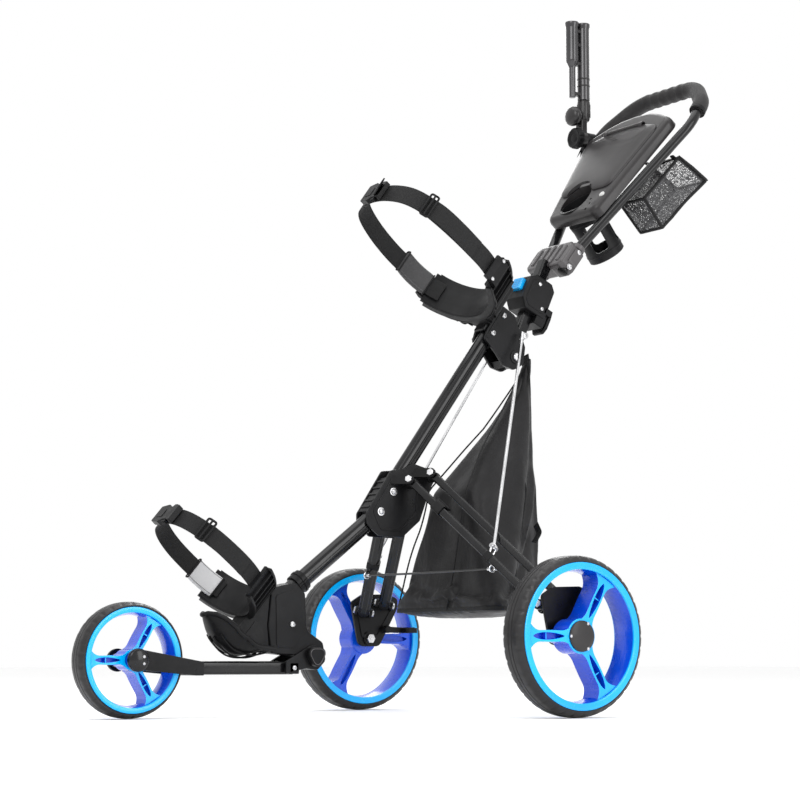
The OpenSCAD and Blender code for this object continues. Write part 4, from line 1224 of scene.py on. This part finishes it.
# the net's length round its rim and its depth, in metres
NET_ROUND, NET_DEEP = 0.32, 0.13
nu, nv = 64, 26
grid = [[bm.verts.new(net_point(i / nu, j / nv)) for j in range(nv + 1)] for i in range(nu)]
for i in range(nu):
    for j in range(nv):
        f = bm.faces.new((grid[i][j], grid[(i + 1) % nu][j], grid[(i + 1) % nu][j + 1], grid[i][j + 1]))
        for loop, (a, b) in zip(f.loops, ((i, j), (i + 1, j), (i + 1, j + 1), (i, j + 1))):
            loop[uvl].uv = (a / nu * NET_ROUND, b / nv * NET_DEEP)
foot_ring = [grid[i][nv] for i in range(nu)]
centre = sum((v.co for v in foot_ring), Vector()) / nu
mid = bm.verts.new(centre + Vector((0, -3, -4)))
for i in range(nu):
    f = bm.faces.new((foot_ring[i], foot_ring[(i + 1) % nu], mid))
    for loop in f.loops:
        loop[uvl].uv = (loop.vert.co.x * MM, (loop.vert.co.y - loop.vert.co.z) * 0.7 * MM)
outward(bm)
area = sum(f.calc_area() for f in bm.faces) * 1e-6
p = Piece("net_pocket_mesh", "mesh_net")
p.add(bm)
net_piece = p.build("handle", ["net_pocket"], sharp=80, weight=False)
p = Piece("net_pocket_binding", "webbing")
rim_loop = [net_point(i / 96, 0.0) for i in range(96)]
p.add(sweep(rim_loop, rect(3.2, 11.5, 1.2, 3), normal=Vector((0, -0.5, 0.86)), closed=True))
for i in (0.0, 0.25, 0.5, 0.75):
    p.add(wire([net_point(i, v / 14) for v in range(15)], 3.2, 8))
p.add(wire([net_point(i / 40, 1.0) for i in range(40)] + [net_point(0, 1.0)], 3.0, 8))
for x in (15, 101):
    p.add(wire([(x, 447, 1042.5), (x, 482, 1026), (x, 517, 1006.5)], 2.4, 12))
for x in (22, 58, 94):
    p.add(prism(rect(10, 15, 2, 3), -1.2, 1.2, 0.5), at=T(x, 441, 1040) @ R(-28, "X"))
net_edge = p.build("handle", ["net_rim"])


# ---------------------------------------------------------------- umbrella holder
UM = Vector((-144, 404, 1120))
# the bar spreads by SPREAD over RISE above the clamp, and the holder grips it at HOLD_V
SPREAD, RISE, HOLD_V = 106, 312, 326
um_x = -41 - SPREAD * (HOLD_V - 34) / RISE
lean = math.degrees(math.atan2(SPREAD, RISE))
UM_AXIS = T(*UM) @ R(-90, "X")
um_bar = T(um_x, *on_bars(HOLD_V)) @ R(BAR_A, "X")
p = Piece("umbrella_clamp_arm", "plastic_black")
p.add(tube(16, 9.6, 23, -11.5, 48, 1.6), at=um_bar @ R(lean, "Z") @ R(-90, "X"))
arm = [on_bars(315, 4), on_bars(336, 4), (UM.y + 38, UM.z + 8), (UM.y + 16, UM.z + 10),
    (UM.y + 16, UM.z - 14)]
p.add(prism(arm, -12, 12, 2.4, 3, 3, 3), at=T(UM.x, 0, 0) @ SIDE)
for s in (-1, 1):
    p.add(prism([on_bars(321, 16), on_bars(332, 16), (UM.y + 32, UM.z + 2), (UM.y + 20, UM.z - 6)], 0,
        1.8, 0.7), at=T(UM.x + s * 11.6 - 0.9, 0, 0) @ SIDE)
p.add(tube(15, 4.2, 22, 16, 44, 1.6), at=UM_AXIS)
p.add(lathe([(0, -10.5), (3.6, -10.5), (4, -10), (4, 36.6), (3.4, 37.4), (0, 37.4)], 24), "steel",
    UM_AXIS)
p.add(socket_bolt(5, 4), "steel", um_bar @ T(0, 0, -16))
p.build("handle", ["umbrella_clamp"])


def knob(r, h, seats):
    """Hand wheel with finger scallops, a dished face and a raised centre."""
    prof = [(0, 0), (r * 0.5, 0), (r - 1.6, 0), (r - 0.3, 0.9), (r, 2.2), (r, h - 3.4), (r - 0.8, h - 1.4),
            (r - 2.6, h - 0.3), (r - 4.6, h), (r - 6.4, h - 1.2), (r * 0.42, h - 2.0), (r * 0.36, h - 0.8),
            (r * 0.3, h - 0.3), (0, h)]
    return lathe(prof, 120, lambda i, a: -1.3 * max(0.0, math.cos(seats * a)) ** 3 if 2 <= i <= 6 else 0)


p = Piece("umbrella_clamp_knob", "plastic_black")
p.add(knob(21.0, 13.6, 9), at=T(*UM) @ R(90, "X"))
p.build("clamp_knob", ["clamp_knob"])

p = Piece("umbrella_tilt_joint", "gloss_grey")
p.add(tube(15, 4.3, 14.8, 0.6, 44, 1.4), at=UM_AXIS)
p.add(box((20, 14.6, 30), 3.0, 3, at=(0, 8, 24)), at=T(*UM))
EGG = T(UM.x, UM.y + 14, UM.z)
egg = [(9.2, 78), (11.4, 78), (12.2, 77.2), (12.8, 74), (13, 68), (13, 56), (12.6, 46), (11.4, 39),
    (9.0, 36.4), (0, 36), (0, 60), (9.2, 60)]
p.add(lathe(egg, 48), at=EGG)
for a in range(0, 360, 30):
    p.add(box((1.6, 1.2, 26), 0.5, at=(12.9, 0, 58)), at=EGG @ R(a, "Z"))
p.build("umbrella_joint", ["umbrella_joint"])

# joint knob, turned: a blunt egg
EGG_KNOB = [(0, 0), (9, 0), (13, 1), (15.6, 3.6), (17.4, 8), (17.8, 12), (16.8, 16), (14.2, 19.6),
    (10, 22), (5, 23.2), (0, 23.4)]
p = Piece("umbrella_joint_knob", "gloss_grey")
p.add(lathe([(r * 1.12, h) for r, h in EGG_KNOB], 64), at=T(UM.x, UM.y - 2, UM.z + 44) @ R(90, "X"))
p.add(rod(3.8, 0, 7.2), "steel", T(UM.x, UM.y - 2, UM.z + 44) @ R(-90, "X"))
p.build("joint_knob", ["joint_knob"])

HOLD = T(UM.x, UM.y + 14, UM.z + 78.3)


def open_tube(h, floor):
    """Umbrella tube with a flared mouth, its bore closed at floor."""
    return lathe([(0, 0.4), (11.8, 0.4), (12.6, 1.4), (12.4, 8), (12.2, h - 12), (12.6, h - 10),
        (13.4, h - 7), (13.9, h - 4), (14, h - 1.6), (13.2, h - 0.4), (11.6, h - 0.2), (11, h - 1.2),
        (11, floor), (0, floor)], 48)


p = Piece("umbrella_socket_tubes", "socket_gloss")
p.add(open_tube(158, 30), at=HOLD)
p.add(placed(open_tube(80, 6), T(-2, -27, 78)), at=HOLD)
p.add(placed(lathe([(0, 4), (5.6, 4), (6.4, 5), (6.4, 64), (8.6, 70), (11.4, 75), (12.4, 80), (0, 80)],
    40), T(-2, -27, 0)), at=HOLD)
p.add(box((12, 20, 7), 1.8, at=(-1, -16, 12)), "gloss_grey", HOLD)
p.add(tube(8.9, 2.0, 18, -17, 32, 1.0), "plastic_black", HOLD)
for z in (74, 112, 140):
    p.add(box((14, 12, 7), 2.0, at=(-1, -13.5, z)), "gloss_grey", HOLD)
for z in (30, 44):
    p.add(lathe([(12.3, z - 2), (13.0, z - 1), (13.0, z + 1), (12.3, z + 2)], 48), "gloss_grey", HOLD)
p.build("umbrella_tube", ["umbrella_tube"], "gloss_grey")


# ---------------------------------------------------------------- legs, hubs and rods
# the right push rod's ends, the direction of its lower pin, and where that pin's bracket sits on the leg
ROD_FOOT, ROD_TOP = Vector((176, -54, 283)), Vector((33, 122, 683))
ROD_PIN, ROD_SEAT = Vector((0.28756, -0.83452, 0.46999)), Vector((176, -62, 266))
# the leg bars are turned about their own length, to lie square to the hinges
LEG_ROLL = -18
LEG = along(LEG_TOP, LEG_FOOT) @ R(LEG_ROLL, "Z")
SIDES = (("right", Matrix(), 1), ("left", MIRROR, -1))


def limb(piece, a, b, flip):
    """Flat bar with rounded ends, a long raised rib down both faces and plastic end plugs."""
    a, b = Vector(a), Vector(b)
    lng = (b - a).length
    base = flip @ along(a, b) @ R(LEG_ROLL, "Z")
    half = [(-6.5, -11), (6.5, -11), (6.5, -5.2), (7.2, -4.4), (7.2, 4.4), (6.5, 5.2)]
    radii = [2.2, 2.2, 0.4, 0.4, 0.4, 0.4]
    sec = rounded(half + [(-x, -y) for x, y in half], radii + radii, 3)
    piece.add(prism(sec, 2, lng - 2, 0.4, 1), "tube_black", base)
    end = [(-11, 0), (11, 0), (11, 12), (7, 19.5), (0, 21.4), (-7, 19.5), (-11, 12)]
    for seat in (T(0, 0, 14) @ R(180, "X"), T(0, 0, lng - 14)):
        piece.add(prism(end, -6.6, 6.6, 1.6, 3, 3, 3), "plastic_black", base @ seat @ SIDE)


for name, flip, s in SIDES:
    p = Piece(f"leg_bar_{name}", "rod_steel")
    limb(p, LEG_TOP, LEG_FOOT, flip)
    p.add(placed(pin(2.5, -9, 9, 0.1, 0.4), along(ROD_FOOT, ROD_FOOT + ROD_PIN)), "steel", flip)
    for k in (-1, 1):
        e, f = ROD_FOOT + ROD_PIN * 7 * k, ROD_SEAT + ROD_PIN * 4.2 * k
        p.add(wire([e + (e - f) * 0.06, e, f.lerp(e, 0.3), f], 1.9, 12), at=flip)
        p.add(placed(disc(4.4, 1.2, 0.4, 24), along(e, e + ROD_PIN * k)), at=flip)
    p.add(placed(box((15.2, 24, 14), 1.6), LEG @ T(0, 0, (ROD_SEAT - LEG_TOP).length)), "plastic_black",
        flip)
    eye = Vector((189, -68, 246))
    p.add(placed(tube(6.4, 3.9, 3.2, -1.6, 28, 0.6), T(*eye) @ R(90, "Y")), at=flip)
    p.add(wire([eye + Vector((1, 5.2, -1)), eye + Vector((4, 11, -2))], 1.6, 10), at=flip)
    if s > 0:
        strap_at = LEG @ T(0, 0, 74)
        band = [Vector((q[0], q[1], 0)) for q in rect(18.2, 27, 4, 5)]
        p.add(placed(sweep(band, strip(20, 1.2), normal=Vector((0, 0, 1)), closed=True), strap_at),
            "webbing", flip)
        q = Piece("loop", "plastic_black")
        slider(26, 15, q, Matrix())
        q.bm.transform(strap_at @ T(-10.8, 3, 0) @ R(90, "Z") @ R(90, "X"))
        p.add(q.bm, "plastic_black", flip)
    p.build(f"leg_{name}", [f"leg_{name}"], "tube_black")
    p = Piece(f"link_bar_{name}", "tube_black")
    limb(p, LEG_TOP + STEP, LEG_FOOT + STEP, flip)
    p.build(f"link_{name}", [f"link_{name}"])

    p = Piece(f"push_rod_{name}", "rod_steel")
    u = (ROD_TOP - ROD_FOOT).normalized()
    p.add(wire([ROD_FOOT + u * 6, ROD_FOOT + u * 60, ROD_TOP - u * 40, ROD_TOP], 2.75, 16), at=flip)
    p.add(placed(tube(6, 2.55, 7, -3.5, 32, 0.8), along(ROD_FOOT, ROD_FOOT + ROD_PIN)), at=flip)
    p.add(placed(lathe([(0, -15), (3.4, -15), (3.7, -14), (3.7, 0), (3.0, 1.5), (0, 1.5)], 20),
        along(ROD_TOP, ROD_TOP + u)), at=flip)
    p.build(f"rod_{name}", [f"rod_{name}"])

    p = Piece(f"hub_plate_{name}", "bracket_black")
    plate = [(-40, 200), (-16, 214), (40, 216), (66, 208), (64, 188), (24, 118), (-22, 118)]
    p.add(prism(plate, 0, 6, 1.2, 3, [8, 8, 8, 8, 8, 14, 14], 5), at=flip @ T(282.5, 0, 0) @ SIDE)
    rib = [(-30, 196), (-12, 206), (38, 208), (56, 202), (54, 190), (18, 132), (-16, 132)]
    rib_in = [(a * 0.86 + 1.6, 172 + (b - 172) * 0.84) for a, b in rib]
    p.add(ring_prism(rounded(rib, 8), rounded(rib_in, 7), 0, 2.2, 0.5), at=flip @ T(280.6, 0, 0) @ SIDE)
    p.add(tube(13, 6.1, 5, 0, 40, 0.8), at=flip @ facing(1, 278.6, 0, REAR_R))
    for q in (LEG_FOOT, LEG_FOOT + STEP):
        ears(p, q, -16, -35, "bracket_black", (flip,))
    p.build(f"hub_{name}", [f"hub_bracket_{name}"])

    p = Piece(f"hub_fasteners_{name}", "steel")
    p.add(lathe([(0, 0), (5.4, 0), (5.9, 0.6), (5.9, 63.5), (5.4, 64), (0, 64)], 28),
        at=flip @ facing(1, 274.5, 0, REAR_R))
    p.add(placed(prism(hexagon(9), 0, 5.5, 0.8), R(30, "Z")), at=flip @ facing(1, 273.6, 0, REAR_R))
    for q in (LEG_FOOT, LEG_FOOT + STEP):
        hinge_pin(p, q, flip)
    p.build(f"hub_{name}", [f"hub_hardware_{name}"])

p = Piece("parking_brake_pedal", "plastic_black")
BRAKE = T(-282.2, 34, 150)
p.add(placed(disc(7, 15.6, 1.4, 36, 0, 0.4), R(90, "Y")), at=BRAKE)
p.add(prism([(0, -6), (44, -7), (46, 3), (0, 5)], 0.6, 15.6, 1.4), at=BRAKE @ SIDE)
p.add(prism([(1, 30), (30, 30), (33.6, 34), (33.6, 52), (30, 55.6), (1, 55.6)], -6.8, 2.6, 1.8, 3, 3,
    3), at=BRAKE)
for y in (35, 40, 45, 50):
    p.add(box((24, 2, 1.4), 0.6, at=(17, y, 3.0)), at=BRAKE)
p.build("brake_pedal", ["brake_pedal"])


# ---------------------------------------------------------------- wheels
def tyre_shape(r, w, wall, shoulder, slots):
    """Tyre with grooves round its crown and short slots over its shoulders."""
    h = w / 2
    prof = [(r - wall, -h + 4), (r - wall + 1.5, -h + 1.2), (r - wall + 3.4, -h),
        (r - shoulder - 0.5, -h + 0.1), (r - shoulder + 1.0, -h + 0.5),
        (r - 4.4, -h + 3.4), (r - 2.2, -h + 6.6), (r - 1.0, -h + 9.2), (r - 0.35, -h + 12.5)]
    crown = [(r - 0.1, -5.2), (r - 1.1, -4.6), (r - 1.1, -3.4), (r, -2.8)]
    prof = prof + crown
    prof = prof + [(a, -b) for a, b in reversed(prof)]
    k = len(prof)
    cut = {5: 1.0, 6: 1.7, 7: 1.3, k - 6: 1.0, k - 7: 1.7, k - 8: 1.3}
    n = slots * 8

    def tread(i, a):
        phase = (a / (2 * math.pi) * slots) % 1.0
        return -cut[i] if i in cut and phase < 0.2 else 0.0
    return lathe(prof, n, tread, closed=True)


def leaf(r0, r1, waist, flare):
    """Half widths of a spoke from hub to rim: (radius, half width)."""
    out = []
    for i in range(19):
        t = i / 18
        w = waist + (flare - waist) * max(0, (t - 0.68) / 0.32) ** 2.4
        w = w + 4.0 * math.sin(math.pi * min(1, t / 0.95)) * 0.35 + 4.5 * max(0, 1 - t / 0.2) ** 2
        out.append((r0 + (r1 - r0) * t, w))
    return out


def wheel(name, at, r, w, hub, barrel, spoke):
    """Rim drawn with its axle along Z: blue barrel and spokes, with a painted highlight in lighter blue on
    the edges of the face.
    """
    h = w / 2
    made = Piece(name, "rim_blue")
    lipw = spoke["lip"]
    prof = [(r - 0.5, -h + 4), (r - 0.5, h - 4), (r + 1.6, h - 0.9), (r + 1.2, h + 0.2),
        (r - 1, h + 0.5), (r - lipw + 1.5, h + 0.4), (r - lipw, h - 0.5),
        (r - lipw - 0.6, h - 2.4), (barrel + 3.0, h - 5.0), (barrel + 0.8, h - 12), (barrel, 0),
        (barrel + 0.8, -h + 12), (barrel + 3.0, -h + 5.0),
        (r - lipw - 0.6, -h + 2.4), (r - lipw, -h + 0.5), (r - lipw + 1.5, -h - 0.4),
        (r - 1, -h - 0.5), (r + 1.2, -h - 0.2), (r + 1.6, -h + 0.9)]

    # faces on the lip of the face side take the painted highlight
    def painted_highlight_face(f):
        c = f.calc_center_median()
        rad = math.hypot(c.x, c.y)
        return "rim_edge" if abs(c.z) > h - 2.6 and rad > r - lipw - 1 else None
    made.add(lathe(prof, 144, closed=True), pick=painted_highlight_face)
    for a in (30, 150, 270):
        half = leaf(hub * 0.5 - 3, barrel + 2.5, spoke["waist"], spoke["flare"])
        outer = [(x, y) for x, y in half] + [(x, -y) for x, y in reversed(half)]
        solid = prism(outer, -spoke["deep"], spoke["face"], 0)
        lo, hi = hub * 0.5 + spoke["root"], barrel - spoke["tip"]
        inner = []
        for i in range(15):
            t = i / 14
            width = spoke["hollow"] * (math.sin(math.pi * t) ** 0.6) * (0.75 + 0.45 * t)
            inner.append((lo + (hi - lo) * t, width))
        inner = inner + [(x, -y) for x, y in reversed(inner[1:-1])]
        solid = tool_cut(solid, prism(inner, spoke["face"] - spoke["dish"], 60, 0))
        solid = tool_cut(solid, prism([(x, y * 0.9) for x, y in inner], -60,
            -spoke["deep"] + spoke["dish"] * 0.6, 0))
        bevel(solid, 0.7, 2, 50)
        top = spoke["face"]

        # the spokes' top edges take the painted highlight
        def edge(f):
            c = f.calc_center_median()
            return "rim_edge" if f.normal.z > 0.35 and c.z > top - 1.6 else None
        made.add(solid, at=R(a, "Z"), pick=edge)
        mid_x = lo + (hi - lo) * 0.56
        # the top of the rib in the hollow takes the painted highlight
        made.add(box((1.8, spoke["hollow"] * 1.9, spoke["dish"] * 0.75), 0.4,
            at=(mid_x, 0, spoke["face"] - spoke["dish"] * 0.62)), at=R(a, "Z"),
            pick=lambda f: "rim_edge" if f.normal.z > 0.5 else None)
    g = hub / 2
    f0 = spoke["hubface"]
    prof = [(6.2, -h + 4), (g - 3, -h + 4), (g - 1, -h + 5), (g, -h + 8), (g, f0 - 1.2),
        (g - 0.6, f0 - 0.2), (g - 1.4, f0), (g - 3.4, f0), (g - 4.0, f0 - 1.4), (6.2, f0 - 1.4)]
    # the ring on the hub's face takes the painted highlight
    made.add(lathe(prof, 72, closed=True), pick=lambda f: "rim_edge"
        if f.calc_center_median().z > f0 - 1.3 and math.hypot(*f.calc_center_median().xy) > g - 4.2
        else None)
    made.bm.transform(at)
    return made


# the spokes' and hubs' own sizes: widths, depths and heights over the wheel's middle plane
REAR = {"lip": 10.0, "waist": 8.2, "flare": 26.0, "deep": 19.0, "face": 20.5, "root": 5.0, "tip": 6.0,
    "hollow": 6.0, "dish": 13.0, "hubface": 21.0}
FRONT = {"lip": 7.0, "waist": 6.0, "flare": 17.0, "deep": 16.0, "face": 17.5, "root": 4.0, "tip": 5.0,
    "hollow": 4.2, "dish": 10.0, "hubface": 17.0}

for name, flip, s in SIDES:
    at = T(s * REAR_X, 0, REAR_R) @ R(0 if s > 0 else 180, "Z") @ R(90, "Y")
    p = Piece(f"rear_tyre_{name}", "tyre_rubber")
    p.add(tyre_shape(REAR_R, REAR_WIDTH, 13, 10, 40), at=at)
    p.build(f"wheel_{name}", [f"tyre_{name}"], sharp=30)
    p = wheel(f"rear_rim_{name}", at, REAR_R - 13, REAR_WIDTH, 58, 106.0, REAR)
    p.build(f"wheel_{name}", [f"rim_{name}"], sharp=34)
    p = Piece(f"rear_hub_cap_{name}", "plastic_grey")
    p.add(lathe([(0, 20.6), (24.6, 20.6), (25.6, 21.4), (25.6, 23.4), (24.8, 24.4), (22.4, 25.0),
        (21.6, 24.7), (20.8, 25.0), (14, 25.6), (6, 25.9), (0, 26.0)], 64), at=at)
    for a in (30, 150, 270):
        p.add(placed(rivet(2.9, 2.0), R(a, "Z") @ T(23.6, 0, 24.0)), "steel", at)
    p.build(f"wheel_{name}", [f"hub_cap_{name}"], "plastic_black")

FRONT_AT = T(0, FRONT_Y, FRONT_R) @ R(90, "Y")
p = Piece("front_wheel_tyre", "tyre_rubber")
p.add(tyre_shape(FRONT_R, FRONT_WIDTH, 10, 6, 30), at=FRONT_AT)
p.build("front_wheel", ["front_tyre"], sharp=30)
p = wheel("front_wheel_rim", FRONT_AT, FRONT_R - 10, FRONT_WIDTH, 34, 71.5, FRONT)
p.build("front_wheel", ["front_rim"], sharp=34)
p = Piece("front_wheel_axle", "steel")
p.add(rod(5.9, -42, 42, 28), at=FRONT_AT)
p.build("fork", ["front_axle"])

p = Piece("front_fork_arms", "bracket_black")
side_bar = [(FRONT_Y + 18.6 * cosd(a), FRONT_R + 18.6 * sind(a))
    for a in range(60, 301, 12)] + [(-548, 68), (-534, 68), (-534, 90)]
pair(p, lambda: prism(side_bar, 0, 5, 1.0), at=T(33, 0, 0) @ SIDE)
hub_dome = [(0, 0), (17.6, 0), (18.2, 0.8), (18.2, 2.2), (17.2, 3.6), (14.4, 5.0), (10, 6.2), (5, 6.9),
    (0, 7.1)]
pair(p, lambda: lathe(hub_dome, 64), "tube_black", facing(1, 37.2, FRONT_Y, FRONT_R))
for s in (-1, 1):
    for v in (-5.5, 5.5):
        p.add(rivet(2.5, 1.7), "steel", facing(s, s * 43.2, FRONT_Y + 7, FRONT_R + v))
p.add(box((66, 14, 22), 2.4, 3, at=(0, -541, 79)))
p.add(prism(rect(34, 22, 5, 4), -541, -351, 1.2), "tube_black", T(0, 0, 80) @ R(-90, "X"))
pair(p, lambda: prism([(-534, 76), (-534, 84), (-380, 84), (-380, 76)], 0, 1.0, 0.4), "tube_black",
    T(16.6, 0, 0) @ SIDE)
rear_ear = [(FORK_PIVOT[0] + 17.6 * cosd(a), FORK_PIVOT[1] + 17.6 * sind(a))
    for a in range(-60, 121, 12)] + [(-372, 91), (-372, 70)]
pair(p, lambda: prism(rear_ear, 0, 5, 1.0), at=T(21.4, 0, 0) @ SIDE)
p.add(box((52.8, 20, 20), 2.4, 3, at=(0, -356, 80)))
for s in (-1, 1):
    p.add(socket_bolt(5, 3.6), "steel", facing(s, s * 33, -541, 79))
    p.add(socket_bolt(4.2, 3.0), "steel", facing(s, s * 26.2, -356, 80))
p.build("fork", ["front_fork"])


# ---------------------------------------------------------------- storage bag and cable
def bag_ring(t):
    """Outline of the hanging bag at height share t (0 foot, 1 top): height, front and back, half widths."""
    keys = [(0.0, 176, -36, 84, 158, 108), (0.05, 184, -44, 96, 168, 116),
        (0.2, 236, -43, 118, 142, 98), (0.42, 320, -37, 142, 104, 78),
            (0.58, 396, -30, 146, 74, 72), (0.7, 452, 10, 150, 54, 46), (0.84, 530, 74, 158, 34, 28),
                (0.95, 610, 136, 166, 18, 16), (1.0, 644, 154, 168, 13, 12)]
    for a, b in zip(keys, keys[1:]):
        if t <= b[0]:
            f = (t - a[0]) / (b[0] - a[0])
            f = f * f * (3 - 2 * f) * 0.5 + f * 0.5
            return [x + (y - x) * f for x, y in zip(a[1:], b[1:])]
    return list(keys[-1][1:])


def bag_point(u, t):
    z, yf, yb, wf, wb = bag_ring(t)
    loop = fillet([(-wf, yf, z), (wf, yf, z), (wb, yb, z), (-wb, yb, z)],
        min(26, 0.42 * (yb - yf), 0.8 * wb), 6)
    # the point at the share u of the way round
    lens = [0.0]
    k = len(loop)
    for i in range(k):
        lens.append(lens[-1] + (loop[(i + 1) % k] - loop[i]).length)
    d = (u % 1.0) * lens[-1]
    i = max(j for j in range(k) if lens[j] <= d)
    q = loop[i].lerp(loop[(i + 1) % k], (d - lens[i]) / max(lens[i + 1] - lens[i], 1e-6))
    c = Vector((0, (yf + yb) / 2, z))
    out = (q - c).normalized()
    # soft folds down the cloth, none at the two ends
    fold = 0.0
    spread = math.sin(math.pi * min(1, max(0, t)) ** 0.8)
    for freq, amp, ph in ((3, 4.4, 0.3), (5, 3.2, 1.1), (9, 1.8, 2.0)):
        fold += amp * math.sin(2 * math.pi * freq * (u + 0.05 * noise.noise(Vector((t * 3, ph, 0)))) + ph)
    crease = noise.noise(Vector((q.x * 0.014, q.y * 0.014, z * 0.009))) * 6
    return q - out * (4.2 + min(1, spread) * (3.5 - fold * 0.62 - crease * 0.7) * min(1, wf / 60))


def bag_mesh(nu, nt):
    bm = new_bm()
    grid = [[bm.verts.new(bag_point(i / nu, j / nt)) for j in range(nt + 1)] for i in range(nu)]
    for i in range(nu):
        for j in range(nt):
            bm.faces.new((grid[i][j], grid[(i + 1) % nu][j], grid[(i + 1) % nu][j + 1], grid[i][j + 1]))
    for j, sgn in ((0, 1), (nt, -1)):
        ring = [grid[i][j] for i in range(nu)]
        c = sum((v.co for v in ring), Vector()) / nu
        rows = [ring]
        for f, drop in ((0.72, 5.0), (0.4, 8.5)):
            rows.append([bm.verts.new(c + (v.co - c)
                * f - Vector((0, 0, sgn * drop if sgn > 0 else 0))) for v in ring])
        for a, b in zip(rows, rows[1:]):
            for i in range(nu):
                bm.faces.new((a[i], a[(i + 1) % nu], b[(i + 1) % nu], b[i]))
        bm.faces.new(rows[-1])
    return outward(bm)


def raised(q, y, z, by):
    """The point q moved away from (0, y, z)."""
    return q + (q - Vector((0, y, z))).normalized() * by


def baked(ob):
    """Mesh of an object with its modifiers worked in."""
    bpy.context.view_layer.update()
    return bpy.data.meshes.new_from_object(ob.evaluated_get(bpy.context.evaluated_depsgraph_get()))


def simulate(ob, frames, cap, pressure, hold):
    """Let a closed shell settle as cloth under light pressure; hold(co) gives each point's pin weight."""
    start = [v.co.copy() for v in ob.data.vertices]
    vg = ob.vertex_groups.new(name="pin")
    for v in ob.data.vertices:
        vg.add([v.index], hold(v.co), "REPLACE")
    mod = ob.modifiers.new("cloth", "CLOTH")
    c = mod.settings
    c.quality = 5
    c.mass = 0.25
    c.tension_stiffness = 12
    c.compression_stiffness = 12
    c.bending_stiffness = 0.3
    c.use_pressure = True
    c.uniform_pressure_force = pressure
    c.effector_weights.gravity = 0.25
    c.vertex_group_mass = "pin"
    c.shrink_min = -0.015
    mod.collision_settings.use_collision = False
    mod.collision_settings.use_self_collision = False
    mod.point_cache.frame_start = 1
    mod.point_cache.frame_end = frames
    for f in range(1, frames + 1):
        bpy.context.scene.frame_set(f)
    shape = ob.evaluated_get(bpy.context.evaluated_depsgraph_get()).data
    moved = [v.co.copy() for v in shape.vertices]
    bpy.context.scene.frame_set(1)
    ob.modifiers.remove(mod)
    ob.vertex_groups.clear()
    for v, a, b in zip(ob.data.vertices, start, moved):
        d = b - a
        if d.length > cap:
            d *= cap / d.length
        v.co = a + d


p = Piece("storage_bag_body", "bag_nylon")
p.add(bag_mesh(120, 84))
bag = p.build("frame", ["storage_bag"], sharp=70, weight=False)
rm = bag.modifiers.new("remesh", "REMESH")
rm.mode = "VOXEL"
rm.voxel_size = 0.006
rm.use_smooth_shade = True
fresh = baked(bag)
bag.modifiers.clear()
bag.data = fresh
simulate(bag, 20, 0.012, 3.0, lambda co: 1.0 if co.z > 0.625 else (0.35 if co.z < 0.2 else 0.0))
sub = bag.modifiers.new("sub", "SUBSURF")
sub.levels = 1
sub.render_levels = 1
final = baked(bag)
bag.modifiers.clear()
bag.data = final
for f in bag.data.polygons:
    f.use_smooth = True

p = Piece("storage_bag_trim", "webbing")
for u in (0.02, 0.48, 0.25, 0.75):
    seam = [bag_point(u, t / 40) for t in range(1, 40)]
    p.add(wire([raised(q, 60, q.z, 1.6) for q in seam], 1.5, 8))
hem = [raised(bag_point(i / 90, 0.03), 30, 184, 1.2) for i in range(90)]
p.add(sweep(hem, rect(7, 2.2, 0.9, 3), normal=Vector((0, 0, 1)), closed=True))
hanger = [(x, 150 + 3 * math.cos(x * 0.05), z) for x, z in ((0, 560), (4, 600), (2, 640), (0, 648))]
p.add(sweep(hanger, strip(22, 1.8)))
tab = []
for i in range(9):
    q = bag_point(0.545, 0.36 + 0.012 * i)
    tab.append(raised(q, 50, q.z, 1.5 + 7 * math.sin(math.pi * i / 8)))
p.add(sweep(tab, strip(15, 1.6)))
trim = p.build("frame", [], "bag_nylon", weight=False)
for ob in (bag, trim):
    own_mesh(ob)

p = Piece("brake_cable_run", "cable_black")
run = [(-188.4, -68, 246), (-120, -68.3, 245.4), (-40, -68.6, 244.9), (40, -68.6, 244.9),
       (120, -68.3, 245.4), (188.4, -68, 246)]
p.add(wire(catmull(run, 8), 1.9, 16))
for x in (-188.4, 178.4):
    p.add(placed(tube(3.2, 1.0, 10, 0, 20, 0.6), T(x, -68.2, 245.8) @ R(90, "Y")), "steel")
cable = p.build("frame", ["brake_cable"])
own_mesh(cable)


# ---------------------------------------------------------------- floor and light
floor_mat = Mat("floor_pale", (0.96, 0.96, 0.96), 0.8)
floor_mat.tint(floor_mat.noise(1.2, 3), 0.985, 1.01)
bpy.ops.mesh.primitive_plane_add(size=1, location=(0, 0, -0.0005))
floor = bpy.context.object
floor.name = "floor"
floor.scale = (30, 30, 1)
floor.data.materials.append(floor_mat.m)

world = bpy.data.worlds.new("studio")
bpy.context.scene.world = world
world.use_nodes = True
world.node_tree.nodes["Background"].inputs["Color"].default_value = (1, 1, 1, 1)
world.node_tree.nodes["Background"].inputs["Strength"].default_value = 1.0
bpy.context.scene.view_settings.view_transform = "Standard"


def lamp(name, where, aim, size, power):
    data = bpy.data.lights.new(name, "AREA")
    data.shape = "RECTANGLE"
    data.size, data.size_y = size
    data.energy = power
    ob = bpy.data.objects.new(name, data)
    ob.location = where
    ob.rotation_euler = (Vector(where) - Vector(aim)).to_track_quat("Z", "Y").to_euler()
    bpy.context.scene.collection.objects.link(ob)


lamp("key", (2.2, -2.6, 3.0), (0, 0, 0.5), (2.2, 2.2), 60)
lamp("side", (3.2, 1.2, 1.4), (0, 0.1, 0.6), (1.4, 2.4), 38)
lamp("rear", (-2.6, 2.2, 2.4), (0, 0, 0.6), (2.0, 2.0), 40)
lamp("top", (0, 0, 4.0), (0, 0, 0), (3.0, 3.0), 45)
